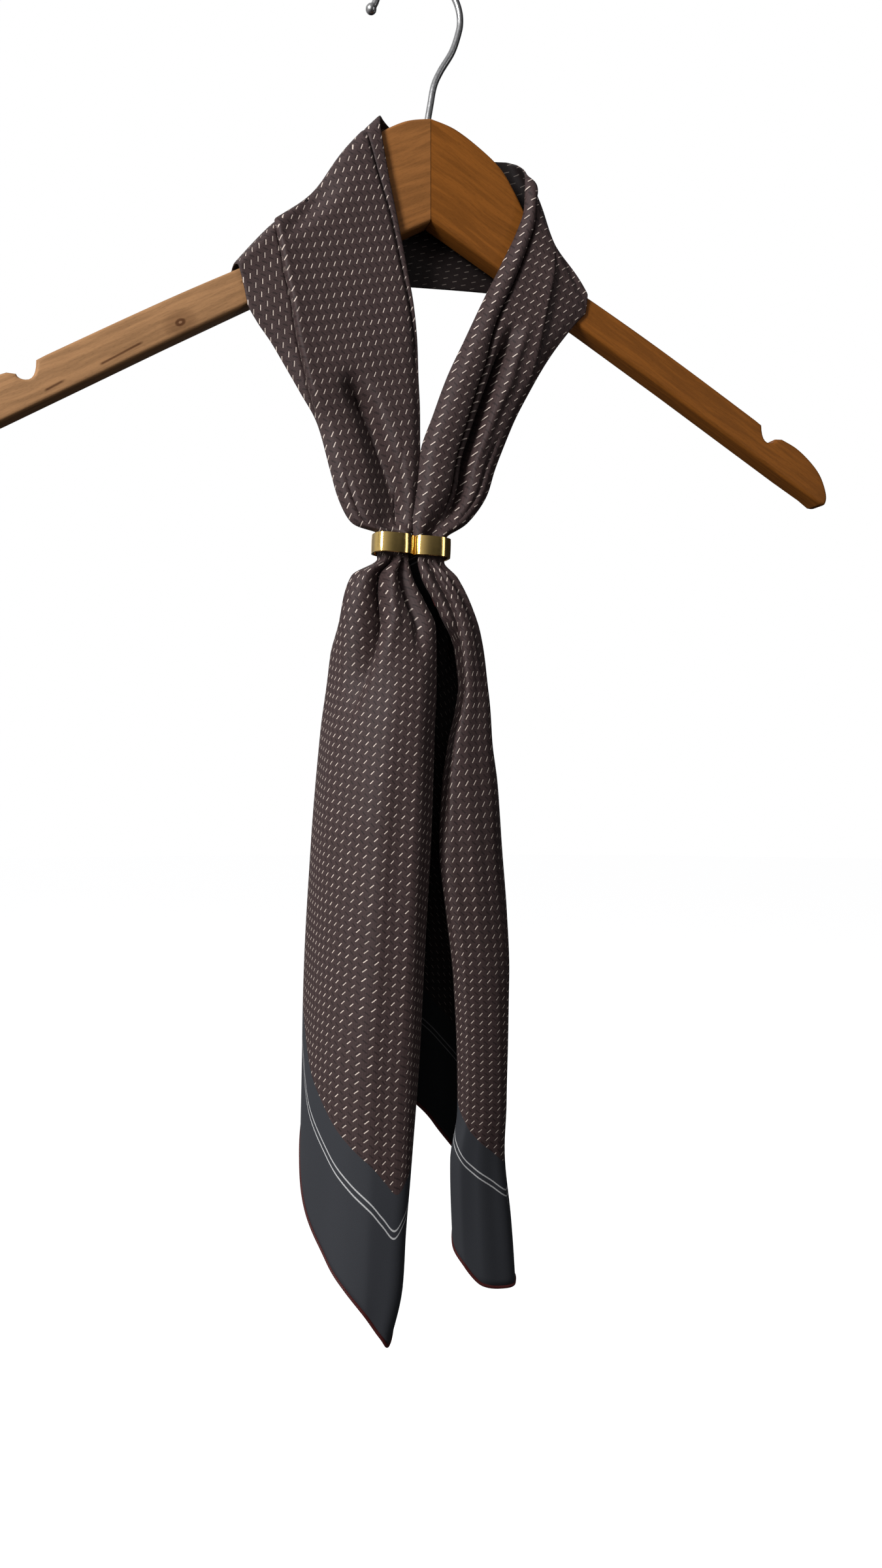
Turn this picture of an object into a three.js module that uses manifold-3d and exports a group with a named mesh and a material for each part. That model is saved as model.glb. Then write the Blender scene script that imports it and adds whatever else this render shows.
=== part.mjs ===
// Square silk scarf round the neck of a wooden hanger, both ends drawn through a two-lobed metal ring.
// Millimetres, +Z up. The front faces -Y and +X is to the right seen from the front.
// The origin is the inside top of the hook, where a rail carries the hanger.
import * as THREE from 'three';
import { mergeVertices } from 'three/addons/utils/BufferGeometryUtils.js';
import Module from 'manifold-3d';

// Driving sizes
const GAP = 0.3;
const CLOTH_WALL = 1.2;
const HANGER_THICKNESS = 12;
const HANGER_EDGE_RADIUS = 1.8;
const HANGER_CURVE_STEPS = 3;
const HANGER_MIDDLE = 4;
const HANGER_TILT = 0.012;
const WIRE_RADIUS = 1.6;
const HOOK_RADIUS = 20.6;
const HOOK_BALL_RADIUS = 2.6;
const SHANK_END_Z = -100;
const RING_LOBE_WIDTH = 19;
const RING_LOBE_DEPTH = 16.4;
const RING_WALL = 1.1;
const RING_BAND = 9.2;
const RING_CENTRE = { x: -7.5, y: -12, z: -275.1 };
const RING_TILT = 0.035;
const BUNDLE_WIDTH = 13.6;
const BUNDLE_FRONT_Y = -16.6;
const BUNDLE_BACK_Y = -7.4;

// Mesh density of the cloth
const TAIL_COLUMNS = 34;
const TAIL_ROWS = 19;
const ROW_BUNCHING = 1.8;
const BAND_COLUMNS = 20;
const ROWS_PER_STATION = 2;

// Reads every column of a table at one value of its key, on a curve that never overshoots its rows
function readTable(table, key, at) {
  const last = table.length - 1;
  const rising = table[last][key] > table[0][key];
  const clamped = THREE.MathUtils.clamp(
    at,
    Math.min(table[0][key], table[last][key]),
    Math.max(table[0][key], table[last][key])
  );
  let low = 0;
  while (low < last - 1 && (rising ? table[low + 1][key] < clamped : table[low + 1][key] > clamped)) low += 1;
  const span = table[low + 1][key] - table[low][key];
  const t = (clamped - table[low][key]) / span;
  const result = {};
  for (const name of Object.keys(table[0])) {
    if (typeof table[0][name] !== 'number') continue;
    const rise = (row) => (table[row + 1][name] - table[row][name]) / (table[row + 1][key] - table[row][key]);
    const slope = (row) => {
      if (row === 0) return rise(0);
      if (row === last) return rise(last - 1);
      const before = rise(row - 1);
      const after = rise(row);
      return before * after <= 0 ? 0 : (2 * before * after) / (before + after);
    };
    const start = table[low][name];
    const end = table[low + 1][name];
    const t2 = t * t;
    const t3 = t2 * t;
    result[name] = start * (2 * t3 - 3 * t2 + 1) + end * (3 * t2 - 2 * t3)
      + span * (slope(low) * (t3 - 2 * t2 + t) + slope(low + 1) * (t3 - t2));
  }
  return result;
}

// Rises smoothly from 0 to 1 between two values
function ease(from, to, at) {
  return THREE.MathUtils.smoothstep(at, from, to);
}

// A bell-shaped bump of height 1 centred on zero
function bell(distance, width) {
  return Math.exp(-((distance / width) ** 2));
}

const SLOPE_STEP = 1e-3;

// Closed wall of even thickness about a sheet, given by a function of two fractions
function clothWall(sheetPoint, columns, rows, thickness) {
  const front = [];
  const back = [];
  for (let row = 0; row <= rows; row += 1) {
    for (let column = 0; column <= columns; column += 1) {
      const c = column / columns;
      const r = row / rows;
      const centre = sheetPoint(c, r);
      const before = [Math.max(c - SLOPE_STEP, 0), Math.max(r - SLOPE_STEP, 0)];
      const after = [Math.min(c + SLOPE_STEP, 1), Math.min(r + SLOPE_STEP, 1)];
      const alongColumn = sheetPoint(after[0], r).sub(sheetPoint(before[0], r));
      const alongRow = sheetPoint(c, after[1]).sub(sheetPoint(c, before[1]));
      const normal = alongColumn.cross(alongRow).normalize().multiplyScalar(thickness / 2);
      front.push(centre.clone().add(normal));
      back.push(centre.clone().sub(normal));
    }
  }
  const offset = front.length;
  const index = [];
  const at = (column, row) => row * (columns + 1) + column;
  const quad = (a, b, c, d) => index.push(a, b, c, a, c, d);
  for (let row = 0; row < rows; row += 1) {
    for (let column = 0; column < columns; column += 1) {
      const a = at(column, row);
      const b = at(column + 1, row);
      const c = at(column + 1, row + 1);
      const d = at(column, row + 1);
      quad(a, b, c, d);
      quad(offset + d, offset + c, offset + b, offset + a);
    }
  }
  for (let column = 0; column < columns; column += 1) {
    quad(at(column + 1, 0), at(column, 0), offset + at(column, 0), offset + at(column + 1, 0));
    quad(at(column, rows), at(column + 1, rows), offset + at(column + 1, rows), offset + at(column, rows));
  }
  for (let row = 0; row < rows; row += 1) {
    quad(at(0, row), at(0, row + 1), offset + at(0, row + 1), offset + at(0, row));
    quad(at(columns, row + 1), at(columns, row), offset + at(columns, row), offset + at(columns, row + 1));
  }
  const points = [...front, ...back];
  const geometry = new THREE.BufferGeometry().setFromPoints(points);
  geometry.setIndex(facingOut(points, index));
  geometry.computeVertexNormals();
  return geometry;
}

// Turns the faces of a closed body round if they enclose a negative volume
function facingOut(points, index) {
  let volume = 0;
  for (let i = 0; i < index.length; i += 3) {
    const [a, b, c] = [points[index[i]], points[index[i + 1]], points[index[i + 2]]];
    volume += a.dot(b.clone().cross(c));
  }
  if (volume > 0) return index;
  const turned = [];
  for (let i = 0; i < index.length; i += 3) turned.push(index[i], index[i + 2], index[i + 1]);
  return turned;
}

// Materials
const wood = (colour) => new THREE.MeshStandardMaterial({ color: colour, roughness: 0.45, metalness: 0 });
const silk = () => new THREE.MeshStandardMaterial({ color: 0x4b3e3e, roughness: 0.6, metalness: 0 });
const steel = new THREE.MeshStandardMaterial({ color: 0x9a9a98, roughness: 0.3, metalness: 1 });
const gold = new THREE.MeshStandardMaterial({ color: 0xb8902f, roughness: 0.2, metalness: 1 });

const wasm = await Module();
wasm.setup();

// Turns a closed three.js geometry into a solid that can be cut or joined
function toSolid(geometry) {
  const bare = geometry.clone();
  bare.deleteAttribute('normal');
  bare.deleteAttribute('uv');
  const merged = mergeVertices(bare, 1e-4);
  return new wasm.Manifold(new wasm.Mesh({
    numProp: 3,
    vertProperties: new Float32Array(merged.attributes.position.array),
    triVerts: new Uint32Array(merged.index.array),
  }));
}

// Turns a solid back into a geometry
function toGeometry(solid) {
  const mesh = solid.getMesh();
  const geometry = new THREE.BufferGeometry();
  geometry.setAttribute('position', new THREE.BufferAttribute(new Float32Array(mesh.vertProperties), 3));
  geometry.setIndex(new THREE.BufferAttribute(new Uint32Array(mesh.triVerts), 1));
  geometry.computeVertexNormals();
  return geometry;
}

// Outline of half of the hanger, right of its middle: top edge from crest to lip, then the strap notch,
// the rounded end and the lower edge back to the inside corner of the two arms.
// Both halves are alike, and the whole hanger hangs a little lower on the left.
const HANGER_TOP = [
  [0, -70.9], [12.2, -74], [25.4, -81.6], [35.8, -90], [42.8, -100.5], [49.5, -113], [58, -131],
  [67, -140], [80, -146.4], [109.5, -162.1], [138.2, -178.2], [174.3, -199.1],
];
const NOTCH = {
  mouthX: 178.2,
  mouthZ: -201.6,
  floorX: 182.7,
  floorZ: -210.3,
  floorRun: 3,
  lipX: 188.4,
  lipZ: -207.6,
  lipRun: 2,
  lipDip: 0.5,
};
const HANGER_END = [
  [199.2, -212], [207.7, -218.6], [213.7, -225.8], [217, -235], [216, -240.4], [212, -240.8],
];
const HANGER_BOTTOM = [
  [206.4, -237], [191.3, -228.6], [162, -211.5], [123.7, -189.1], [80, -164.1], [32, -137.3],
];
const HANGER_INNER_CORNER_Z = -119.5;

const SHORTEST_SIDE = 0.5;

function hangerOutline() {
  const right = new THREE.Path();
  right.moveTo(...HANGER_TOP[0]);
  right.splineThru(HANGER_TOP.slice(1).map(([x, z]) => new THREE.Vector2(x, z)));
  right.lineTo(NOTCH.mouthX, NOTCH.mouthZ);
  right.quadraticCurveTo(NOTCH.mouthX, NOTCH.floorZ, NOTCH.floorX, NOTCH.floorZ);
  const lipFootZ = NOTCH.lipZ - NOTCH.lipDip;
  right.quadraticCurveTo(NOTCH.floorX + NOTCH.floorRun, NOTCH.floorZ, NOTCH.lipX - NOTCH.lipRun, lipFootZ);
  right.lineTo(NOTCH.lipX + NOTCH.lipRun, lipFootZ);
  right.splineThru(HANGER_END.map(([x, z]) => new THREE.Vector2(x, z)));
  for (const [x, z] of HANGER_BOTTOM) right.lineTo(x, z);
  right.lineTo(0, HANGER_INNER_CORNER_Z);
  const points = right.getPoints(HANGER_CURVE_STEPS);
  const mirrored = points.slice(1, -1).reverse().map((p) => new THREE.Vector2(-p.x, p.y));
  const crest = new THREE.Vector2(...HANGER_TOP[0]);
  const outline = [...points, ...mirrored].map((p) => {
    p.rotateAround(crest, HANGER_TILT);
    return new THREE.Vector2(p.x + HANGER_MIDDLE, p.y);
  });
  return outline.filter((p, i) => p.distanceTo(outline[(i + 1) % outline.length]) > SHORTEST_SIDE);
}

// The whole hanger body, upright and centred on y = 0, with rounded edges
function hangerBody() {
  const body = new THREE.ExtrudeGeometry(new THREE.Shape(hangerOutline()), {
    depth: HANGER_THICKNESS - 2 * HANGER_EDGE_RADIUS,
    bevelEnabled: true,
    bevelThickness: HANGER_EDGE_RADIUS,
    bevelSize: HANGER_EDGE_RADIUS,
    bevelOffset: -HANGER_EDGE_RADIUS,
    bevelSegments: 2,
  });
  body.rotateX(Math.PI / 2);
  body.translate(0, HANGER_THICKNESS / 2 - HANGER_EDGE_RADIUS, 0);
  return toSolid(body);
}

const HALF_REACH = 400;
const HOLE_SIDES = 16;

// One wooden half: the body cut at the middle, with half of the hole for the hook's shank
function hangerHalf(side) {
  const half = new THREE.BoxGeometry(HALF_REACH, HALF_REACH, HALF_REACH);
  half.translate(HANGER_MIDDLE + side * (HALF_REACH + GAP) / 2, 0, -HALF_REACH / 2);
  const hole = new THREE.CylinderGeometry(WIRE_RADIUS + GAP, WIRE_RADIUS + GAP, -SHANK_END_Z, HOLE_SIDES);
  hole.rotateX(Math.PI / 2);
  hole.translate(HANGER_MIDDLE, 0, SHANK_END_Z / 2 - GAP);
  return toGeometry(hangerBody().intersect(toSolid(half)).subtract(toSolid(hole)));
}

// Wire's centre line: the open end, an arc given in degrees, then the S-bend and the shank
const HOOK_TIP = [[-23.5, -21.8], [-21.6, -18.6]];
const HOOK_ARC = { from: 165, to: -15, step: 15 };
const HOOK_SHANK = [
  [16.6, -34.4], [10.6, -45], [7.4, -52.5], [5.6, -62],
  [HANGER_MIDDLE, -72], [HANGER_MIDDLE, -84], [HANGER_MIDDLE, SHANK_END_Z],
];
const WIRE_STEPS = 44;
const WIRE_CURVE_STEPS = 4;
const BALL_SIDES = 12;
const BALL_BANDS = 8;

// Bent steel wire with a ball at its open end, its shank set in the hanger
function hangerHook() {
  const centreZ = WIRE_RADIUS - HOOK_RADIUS;
  const points = HOOK_TIP.map(([x, z]) => new THREE.Vector3(x, 0, z));
  for (let angle = HOOK_ARC.from; angle >= HOOK_ARC.to; angle -= HOOK_ARC.step) {
    const turn = THREE.MathUtils.degToRad(angle);
    points.push(new THREE.Vector3(Math.cos(turn) * HOOK_RADIUS, 0, centreZ + Math.sin(turn) * HOOK_RADIUS));
  }
  for (const [x, z] of HOOK_SHANK) points.push(new THREE.Vector3(x, 0, z));
  const section = new THREE.Shape().absarc(0, 0, WIRE_RADIUS, 0, Math.PI * 2);
  const wire = new THREE.ExtrudeGeometry(section, {
    steps: WIRE_STEPS,
    curveSegments: WIRE_CURVE_STEPS,
    extrudePath: new THREE.CatmullRomCurve3(points),
  });
  const ball = new THREE.SphereGeometry(HOOK_BALL_RADIUS, BALL_SIDES, BALL_BANDS);
  ball.translate(points[0].x, 0, points[0].z);
  return toGeometry(toSolid(wire).add(toSolid(ball)));
}

const RING_SIDES = 18;

// Two-lobed ring: the outlines of two ovals joined side by side, with both inner ovals open
function scarfRing() {
  const lobes = [-1, 1].map((side) => side * (RING_LOBE_WIDTH - RING_WALL) / 2);
  const oval = (x, width, depth, height) => {
    const shape = new THREE.Shape().absellipse(x, 0, width / 2, depth / 2, 0, Math.PI * 2);
    const body = new THREE.ExtrudeGeometry(shape, {
      depth: height,
      bevelEnabled: false,
      curveSegments: RING_SIDES,
    });
    body.translate(0, 0, -height / 2);
    return toSolid(body);
  };
  const outer = lobes.map((x) => oval(x, RING_LOBE_WIDTH, RING_LOBE_DEPTH, RING_BAND));
  const inner = lobes.map((x) => oval(x, RING_LOBE_WIDTH - 2 * RING_WALL, RING_LOBE_DEPTH - 2 * RING_WALL,
    RING_BAND * 2));
  const ring = toGeometry(outer[0].add(outer[1]).subtract(inner[0]).subtract(inner[1]));
  ring.rotateY(RING_TILT);
  return ring;
}

// Scarf round the neck: stations from the left lobe of the ring, up the left front, over the left arm,
// behind the hanger, over the right arm and down to the right lobe.
// outer is the lower edge of the band and inner its upper edge, both x, y, z.
// curl is how far the two edges turn back, and gather how strongly the cloth is pleated.
const LEFT_BUNDLE_X = RING_CENTRE.x - (RING_LOBE_WIDTH - RING_WALL) / 2;
const RIGHT_BUNDLE_X = RING_CENTRE.x + (RING_LOBE_WIDTH - RING_WALL) / 2;
const BAND_END_Z = RING_CENTRE.z + 1.5 * GAP;
const BUNDLE_HALF = BUNDLE_WIDTH / 2;
const BAND_STATIONS = [
  {
    outer: [LEFT_BUNDLE_X - BUNDLE_HALF, RING_CENTRE.y, BAND_END_Z],
    inner: [LEFT_BUNDLE_X + BUNDLE_HALF, RING_CENTRE.y, BAND_END_Z],
    curl: 0,
    gather: 1,
  },
  { outer: [-23.9, -12, -269.6], inner: [-9.4, -12, -269.6], curl: 0.4, gather: 0.95 },
  { outer: [-35, -11.5, -265.6], inner: [-7.8, -12.5, -265.6], curl: 1.5, gather: 0.5 },
  { outer: [-41.6, -11, -253.6], inner: [-5.6, -13, -252], curl: 3, gather: 0.15 },
  { outer: [-45.2, -10.5, -241], inner: [-3.4, -12.8, -235], curl: 3, gather: 0 },
  { outer: [-51.2, -10, -220], inner: [-3.2, -12.5, -213], curl: 3, gather: 0 },
  { outer: [-58.6, -9.6, -207.5], inner: [-3.3, -12, -196], curl: 2.5, gather: 0 },
  { outer: [-65.5, -9.2, -196.4], inner: [-3.8, -11.5, -180], curl: 2, gather: 0 },
  { outer: [-72.6, -8.8, -185.4], inner: [-5.5, -11, -163], curl: 1.2, gather: 0 },
  { outer: [-79.6, -8.4, -177.6], inner: [-8.6, -10.4, -146], curl: 0.8, gather: 0 },
  { outer: [-84.6, -8, -170], inner: [-13, -9.8, -124], curl: 0.5, gather: 0 },
  { outer: [-87, -7.6, -162], inner: [-18.2, -9.2, -99], curl: 0.2, gather: 0 },
  { outer: [-88.6, -7.8, -153.6], inner: [-20.9, -7.9, -80], curl: 0, gather: 0 },
  { outer: [-89, 0, -150.4], inner: [-20.3, 0, -72.4], curl: 0, gather: 0 },
  { outer: [-88.2, 7.9, -152.8], inner: [-15, 7.4, -75], curl: 0, gather: 0 },
  { outer: [-80, 8, -152.5], inner: [-7, 8, -78.5], curl: 0.4, gather: 0 },
  { outer: [-55, 8.4, -150], inner: [4, 8.2, -81], curl: 0.5, gather: 0 },
  { outer: [-27, 8.6, -148], inner: [14, 8.2, -82.5], curl: 0.5, gather: 0 },
  { outer: [3, 8.8, -146], inner: [22, 8.2, -82.5], curl: 0.5, gather: 0 },
  { outer: [33, 8.8, -144.5], inner: [31, 8.2, -81], curl: 0.5, gather: 0 },
  { outer: [60, 8.5, -143.8], inner: [40.5, 7.8, -79.9], curl: 0.5, gather: 0 },
  { outer: [78, 8.2, -144.4], inner: [48, 6.8, -79.3], curl: 0.4, gather: 0 },
  { outer: [85.6, 7.2, -144.9], inner: [53, 3.6, -80], curl: 0.2, gather: 0 },
  { outer: [87.4, 0, -142.8], inner: [55.2, -1, -82.6], curl: 0, gather: 0 },
  { outer: [86.6, -7.7, -146.2], inner: [53.4, -5.8, -88], curl: 0, gather: 0 },
  { outer: [83.6, -7.8, -153], inner: [51, -9.2, -97], curl: 0.8, gather: 0 },
  { outer: [78.4, -8, -159.5], inner: [50, -10, -109], curl: 1, gather: 0 },
  { outer: [72.4, -8.4, -167], inner: [45.6, -10.4, -122], curl: 1.2, gather: 0 },
  { outer: [66.4, -8.8, -175], inner: [38.9, -10.8, -136], curl: 1.6, gather: 0 },
  { outer: [60.2, -9.2, -184.5], inner: [29.4, -11.2, -155], curl: 2, gather: 0 },
  { outer: [53.4, -9.6, -196.4], inner: [20, -11.6, -175], curl: 2.5, gather: 0 },
  { outer: [46.3, -10, -209.6], inner: [11, -12, -194], curl: 2.6, gather: 0 },
  { outer: [40.6, -10.3, -222.6], inner: [4, -12.4, -212.5], curl: 2.6, gather: 0 },
  { outer: [35.6, -10.6, -235], inner: [-0.6, -12.6, -230], curl: 2.6, gather: 0 },
  { outer: [31.2, -11, -248], inner: [-3.2, -12.8, -248], curl: 2.6, gather: 0.15 },
  { outer: [20.5, -11.5, -262], inner: [-4.4, -12.6, -262], curl: 1.5, gather: 0.5 },
  { outer: [9.6, -12, -269.6], inner: [-5.8, -12, -269.6], curl: 0.4, gather: 0.95 },
  {
    outer: [RIGHT_BUNDLE_X + BUNDLE_HALF, RING_CENTRE.y, BAND_END_Z],
    inner: [RIGHT_BUNDLE_X - BUNDLE_HALF, RING_CENTRE.y, BAND_END_Z],
    curl: 0,
    gather: 1,
  },
];
const LEFT_TURN = 13;
const RIGHT_TURN = 23;
const BAND_END = BAND_STATIONS.length - 1;
const TURN_CUT = 0.06;
const BAND_BOW = 1.2;
const FOLD_FADE = 0.2;
const EDGE_ROUND = 0.07;
const GATHER_WAVES = 1.5;
const GATHER_DEPTH = 2.8;

// Folds of the band: station and fraction across, at each end of the fold. A positive depth is a trough,
// a negative one a ridge. A step is a layer that ends at the fold: a positive one lifts the inner side.
const BAND_FOLDS = [
  { from: 8, to: 13.4, atFrom: 0.87, atTo: 0.89, depth: 1.2, width: 0.035, step: 0.9 },
  { from: 5, to: 13.4, atFrom: 0.02, atTo: 0.31, depth: 0, width: 0.03, step: 1.5 },
  { from: 1.2, to: 6.6, atFrom: 0.66, atTo: 0.44, depth: 5, width: 0.09, step: 0 },
  { from: 1, to: 4.4, atFrom: 0.3, atTo: 0.22, depth: 2.4, width: 0.07, step: 0 },
  { from: 14, to: 22, atFrom: 0.4, atTo: 0.55, depth: -1, width: 0.06, step: 0 },
  { from: 15, to: 21, atFrom: 0.72, atTo: 0.8, depth: -1, width: 0.06, step: 0 },
  { from: 22.6, to: 35, atFrom: 0.83, atTo: 0.56, depth: 1.6, width: 0.045, step: 1.2 },
  { from: 29, to: 35.4, atFrom: 0.5, atTo: 0.45, depth: 2.2, width: 0.05, step: 0 },
  { from: 25, to: 32, atFrom: 0.5, atTo: 0.16, depth: 0.9, width: 0.05, step: 0.8 },
  { from: 32, to: 35.6, atFrom: 0.2, atTo: 0.25, depth: 1.8, width: 0.06, step: 0 },
  { from: 11, to: 14, atFrom: 0.5, atTo: 0.5, depth: 4, width: 0.18, step: 0 },
  { from: 22, to: 25.4, atFrom: 0.45, atTo: 0.45, depth: 4.2, width: 0.26, step: 0 },
];

const bandTable = BAND_STATIONS.map((row, index) => ({
  index,
  outerX: row.outer[0],
  outerY: row.outer[1],
  outerZ: row.outer[2],
  innerX: row.inner[0],
  innerY: row.inner[1],
  innerZ: row.inner[2],
  curl: row.curl,
  gather: row.gather,
}));

function bandBase(at, across) {
  const row = readTable(bandTable, 'index', at);
  const outer = new THREE.Vector3(row.outerX, row.outerY, row.outerZ);
  const inner = new THREE.Vector3(row.innerX, row.innerY, row.innerZ);
  return { row, point: outer.lerp(inner, across) };
}

// Height of the band's folds above its plain form, in millimetres
function bandRelief(at, across, row) {
  let height = BAND_BOW * Math.sin(Math.PI * across) * (1 - row.gather);
  height -= row.curl * (bell(across, EDGE_ROUND) + bell(1 - across, EDGE_ROUND));
  height += row.gather * GATHER_DEPTH * Math.sin(2 * Math.PI * GATHER_WAVES * across);
  for (const fold of BAND_FOLDS) {
    const fraction = (at - fold.from) / (fold.to - fold.from);
    if (fraction <= 0 || fraction >= 1) continue;
    const strength = ease(0, FOLD_FADE, fraction) * ease(0, FOLD_FADE, 1 - fraction) * (1 - row.gather);
    const middle = THREE.MathUtils.lerp(fold.atFrom, fold.atTo, fraction);
    height -= strength * fold.depth * bell(across - middle, fold.width);
    height += strength * fold.step * ease(middle - fold.width, middle + fold.width, across);
  }
  return height;
}

const STATION_STEP = 0.01;

function bandPoint(at, across) {
  const { row, point } = bandBase(at, across);
  const low = Math.max(at - STATION_STEP, 0);
  const high = Math.min(at + STATION_STEP, BAND_END);
  const along = bandBase(high, across).point.sub(bandBase(low, across).point);
  const over = bandBase(at, 1).point.sub(bandBase(at, 0).point);
  const outward = over.cross(along).normalize();
  return point.addScaledVector(outward, bandRelief(at, across, row));
}

function bandStretch(from, to) {
  const rows = Math.round((to - from) * ROWS_PER_STATION);
  return clothWall(
    (c, r) => bandPoint(THREE.MathUtils.lerp(from, to, r), c), BAND_COLUMNS, rows, CLOTH_WALL
  );
}

// Tails. A roll is the cloth's path in plan, from its hidden inner end round the front to the back:
// across and depth run from -1 to 1 over the section, hem is how far the hem lies above the tip there,
// and wing shifts a back layer sideways at full width.
const LEFT_ROLL = [
  { across: -0.35, depth: 0.5, hem: 62, wing: 0 },
  { across: 0.1, depth: 0.15, hem: 42, wing: 0 },
  { across: 0.6, depth: -0.25, hem: 22, wing: 0 },
  { across: 0.98, depth: -0.6, hem: 7, wing: 0 },
  { across: 0.84, depth: -0.86, hem: 0, wing: 0 },
  { across: 0.55, depth: -1, hem: 6, wing: 0 },
  { across: 0.15, depth: -0.95, hem: 15.5, wing: 0 },
  { across: -0.25, depth: -0.72, hem: 26, wing: 0 },
  { across: -0.6, depth: -0.32, hem: 38, wing: 0 },
  { across: -0.86, depth: 0.15, hem: 55, wing: 0 },
  { across: -0.96, depth: 0.55, hem: 81, wing: 0 },
  { across: -0.78, depth: 0.88, hem: 100, wing: 0 },
  { across: -0.35, depth: 0.98, hem: 114, wing: 0 },
  { across: 0.1, depth: 0.85, hem: 128, wing: 0 },
  { across: 0.5, depth: 0.6, hem: 140, wing: 0 },
];
const RIGHT_ROLL = [
  { across: 0.5, depth: -0.2, hem: 56, wing: 0 },
  { across: -0.15, depth: -0.24, hem: 46, wing: 0 },
  { across: -0.78, depth: -0.38, hem: 35, wing: 0 },
  { across: -0.96, depth: -0.63, hem: 22, wing: 0 },
  { across: -0.72, depth: -0.96, hem: 13, wing: 0 },
  { across: -0.25, depth: -1, hem: 4, wing: 0 },
  { across: 0.3, depth: -0.88, hem: 1, wing: 0 },
  { across: 0.78, depth: -0.58, hem: 0, wing: 0 },
  { across: 1, depth: -0.05, hem: 2, wing: 0 },
  { across: 0.92, depth: 0.45, hem: 16, wing: 0 },
  { across: 0.5, depth: 0.82, hem: 38, wing: 0 },
  { across: -0.1, depth: 0.95, hem: 58, wing: -2 },
  { across: -0.5, depth: 0.96, hem: 74, wing: -9 },
  { across: -0.75, depth: 0.86, hem: 90, wing: -22 },
];

// Sections of each tail: left and right edge, front and back, and how far the wing has opened
const LEFT_SECTIONS = [
  {
    z: RING_CENTRE.z,
    left: LEFT_BUNDLE_X - BUNDLE_HALF,
    right: LEFT_BUNDLE_X + BUNDLE_HALF,
    front: BUNDLE_FRONT_Y,
    back: BUNDLE_BACK_Y,
    wing: 0,
  },
  { z: -281, left: -23.3, right: -9.8, front: -16.4, back: -7.4, wing: 0 },
  { z: -289, left: -35.9, right: -8.9, front: -21.5, back: -2.5, wing: 0 },
  { z: -301.6, left: -40.8, right: -3.3, front: -25, back: 2, wing: 0 },
  { z: -313.6, left: -42.3, right: 1.6, front: -27.5, back: 5.5, wing: 0 },
  { z: -337, left: -44.6, right: 1.8, front: -29.5, back: 10.5, wing: 0 },
  { z: -361, left: -47.6, right: 0.6, front: -30.5, back: 13.5, wing: 0 },
  { z: -409, left: -51.6, right: -1.3, front: -31, back: 15, wing: 0 },
  { z: -456, left: -54.1, right: -3.7, front: -31, back: 15, wing: 0 },
  { z: -503, left: -55.9, right: -6.2, front: -31, back: 15, wing: 0 },
  { z: -561, left: -57.5, right: -9.6, front: -30.5, back: 14.5, wing: 0 },
  { z: -588, left: -57.4, right: -12, front: -30, back: 14, wing: 0 },
  { z: -612, left: -57.1, right: -14, front: -29.5, back: 12.5, wing: 0 },
  { z: -642, left: -54.7, right: -21.5, front: -27, back: 9, wing: 0 },
];
const RIGHT_SECTIONS = [
  {
    z: RING_CENTRE.z,
    left: RIGHT_BUNDLE_X - BUNDLE_HALF,
    right: RIGHT_BUNDLE_X + BUNDLE_HALF,
    front: BUNDLE_FRONT_Y,
    back: BUNDLE_BACK_Y,
    wing: 0,
  },
  { z: -281, left: -5.4, right: 8.4, front: -16.6, back: -7.4, wing: 0 },
  { z: -289, left: -4.4, right: 15.8, front: -20, back: -3, wing: 0 },
  { z: -301.6, left: 2, right: 22.3, front: -22, back: 0, wing: 0.1 },
  { z: -313.6, left: 7, right: 26.3, front: -23, back: 3, wing: 0.3 },
  { z: -324, left: 8.4, right: 28.2, front: -23, back: 5, wing: 0.6 },
  { z: -339, left: 15, right: 29.8, front: -23, back: 6.5, wing: 0.9 },
  { z: -351, left: 17.6, right: 31.6, front: -23, back: 7, wing: 1 },
  { z: -366, left: 11, right: 33.4, front: -23, back: 7, wing: 1 },
  { z: -385, left: 5.6, right: 35.9, front: -23, back: 7, wing: 1 },
  { z: -415, left: 6.7, right: 37.5, front: -23, back: 7, wing: 1 },
  { z: -446, left: 9.3, right: 39.7, front: -23, back: 7, wing: 1 },
  { z: -476, left: 11.2, right: 41.2, front: -23, back: 7, wing: 1 },
  { z: -537, left: 13.2, right: 41.2, front: -22, back: 6.5, wing: 1 },
  { z: -560, left: 10, right: 40.3, front: -21, back: 6, wing: 1 },
  { z: -592, left: 10.9, right: 42.8, front: -20, back: 5, wing: 1 },
  { z: -625, left: 14, right: 45, front: -19, back: 4, wing: 1 },
];
const LEFT_TIP_Z = -637.5;
const RIGHT_TIP_Z = -622;

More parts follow.
